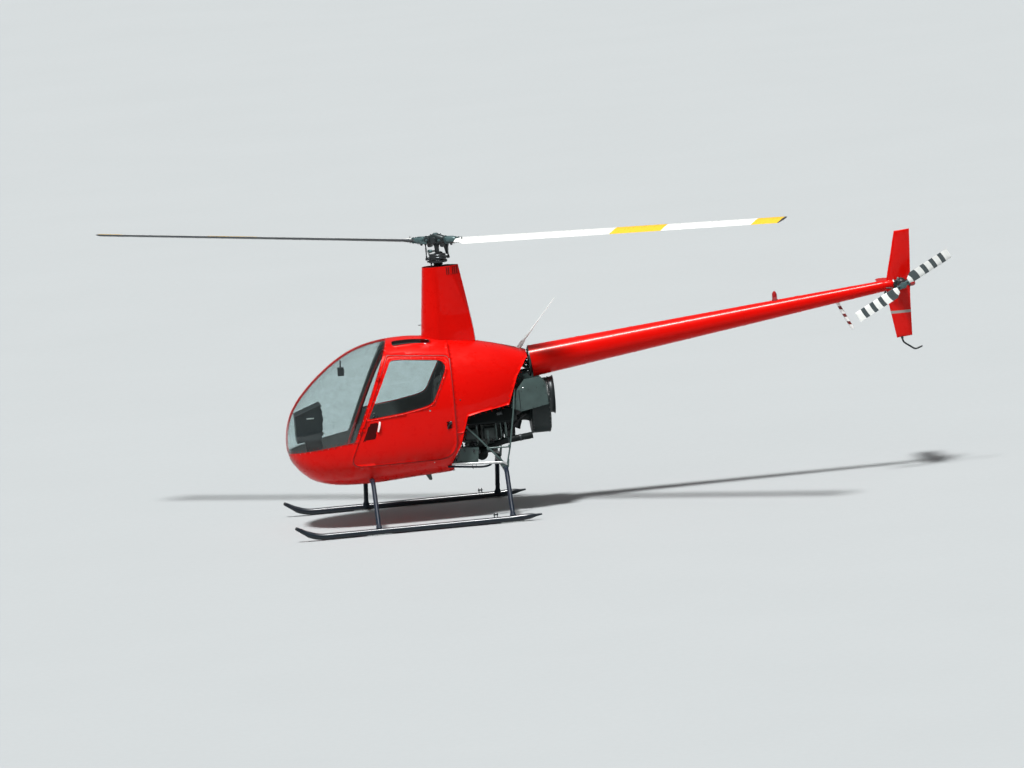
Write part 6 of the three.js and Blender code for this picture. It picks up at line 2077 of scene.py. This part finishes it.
# Azimuth and height in degrees, strength, and width in degrees
LIGHTS = {"key": (-26, 67, 5.3, 8), "sparkle": (2, 78, 6.0, 4), "front": (-34, 26, 0.35, 40)}


def camera():
    right = np.array((math.cos(TO_NOSE), -math.sin(TO_NOSE), 0))
    up = np.array((math.sin(TO_NOSE) * math.sin(ELEVATION), math.cos(TO_NOSE) * math.sin(ELEVATION),
                   math.cos(ELEVATION)))
    back = np.array((-math.sin(TO_NOSE) * math.cos(ELEVATION), -math.cos(TO_NOSE) * math.cos(ELEVATION),
                     math.sin(ELEVATION)))
    hub = (HUB + MAST) / 1000
    aim = hub + AIM_RIGHT * right + AIM_UP * up
    x = right * math.cos(ROLL) - up * math.sin(ROLL)
    y = right * math.sin(ROLL) + up * math.cos(ROLL)
    data = bpy.data.cameras.new("photo_view")
    data.sensor_width = SENSOR
    data.lens = SENSOR * DISTANCE / FRAME_WIDTH
    data.clip_end = 1000
    view = bpy.data.objects.new("photo_view", data)
    bpy.context.scene.collection.objects.link(view)
    matrix = np.eye(4)
    matrix[:3, 0], matrix[:3, 1], matrix[:3, 2], matrix[:3, 3] = x, y, back, aim + back * DISTANCE
    view.matrix_world = Matrix(matrix.tolist())
    bpy.context.scene.camera = view


def studio():
    mesh = bpy.data.meshes.new("floor")
    corners = [(x * FLOOR_HALF, y * FLOOR_HALF, 0) for x, y in ((-1, -1), (1, -1), (1, 1), (-1, 1))]
    mesh.from_pydata(corners, [], [(0, 1, 2, 3)])
    mesh.materials.append(finish("floor_pale", (0.385, 0.405, 0.41), 0.8, cloud=(0.4, 0.01), specular=0.1))
    floor = bpy.data.objects.new("floor", mesh)
    bpy.context.scene.collection.objects.link(floor)
    for name, (azimuth, height, strength, angle) in LIGHTS.items():
        data = bpy.data.lights.new(name, "SUN")
        data.energy = strength
        data.angle = math.radians(angle)
        lamp = bpy.data.objects.new(name, data)
        lamp.visible_glossy = name == "sparkle"
        lamp.visible_diffuse = name != "sparkle"
        bpy.context.scene.collection.objects.link(lamp)
        a, e = math.radians(azimuth), math.radians(height)
        back = Vector((math.sin(a) * math.cos(e), -math.cos(a) * math.cos(e), math.sin(e)))
        lamp.rotation_euler = (-back).to_track_quat("-Z", "Y").to_euler()
    world = bpy.data.worlds.new("studio")
    bpy.context.scene.world = world
    world.use_nodes = True
    tree = world.node_tree
    way = add(tree, "TexCoord").outputs["Generated"]
    height = add(tree, "SeparateXYZ", {"Vector": way}).outputs["Z"]
    tone = blend_colour(tree, spread(tree, height, 0.0, 0.8, 0.0, 1.0), (0.42, 0.45, 0.46),
                        (0.95, 0.97, 0.98))
    tree.links.new(tone, tree.nodes["Background"].inputs["Color"])
    ahead = add(tree, "SeparateXYZ", {"Vector": way}).outputs["X"]
    tree.links.new(spread(tree, ahead, -0.8, 0.8, 0.34, 0.18), tree.nodes["Background"].inputs["Strength"])
    bpy.context.scene.view_settings.view_transform = "Standard"


cabin()
mast_fairing()
tail_boom()
tail_surfaces()
rotor_blades()
landing_gear()
hub_block()
blade_grips()
swashplates()
engine()
baffles()
drive()
frames()
fan_housing()
side_shrouds()
exhaust()
tail_gearbox()
tail_fittings()
door_fittings()
skin_fittings()
cabin_fittings()
cushions()
harness()
carried_nodes()
camera()
studio()
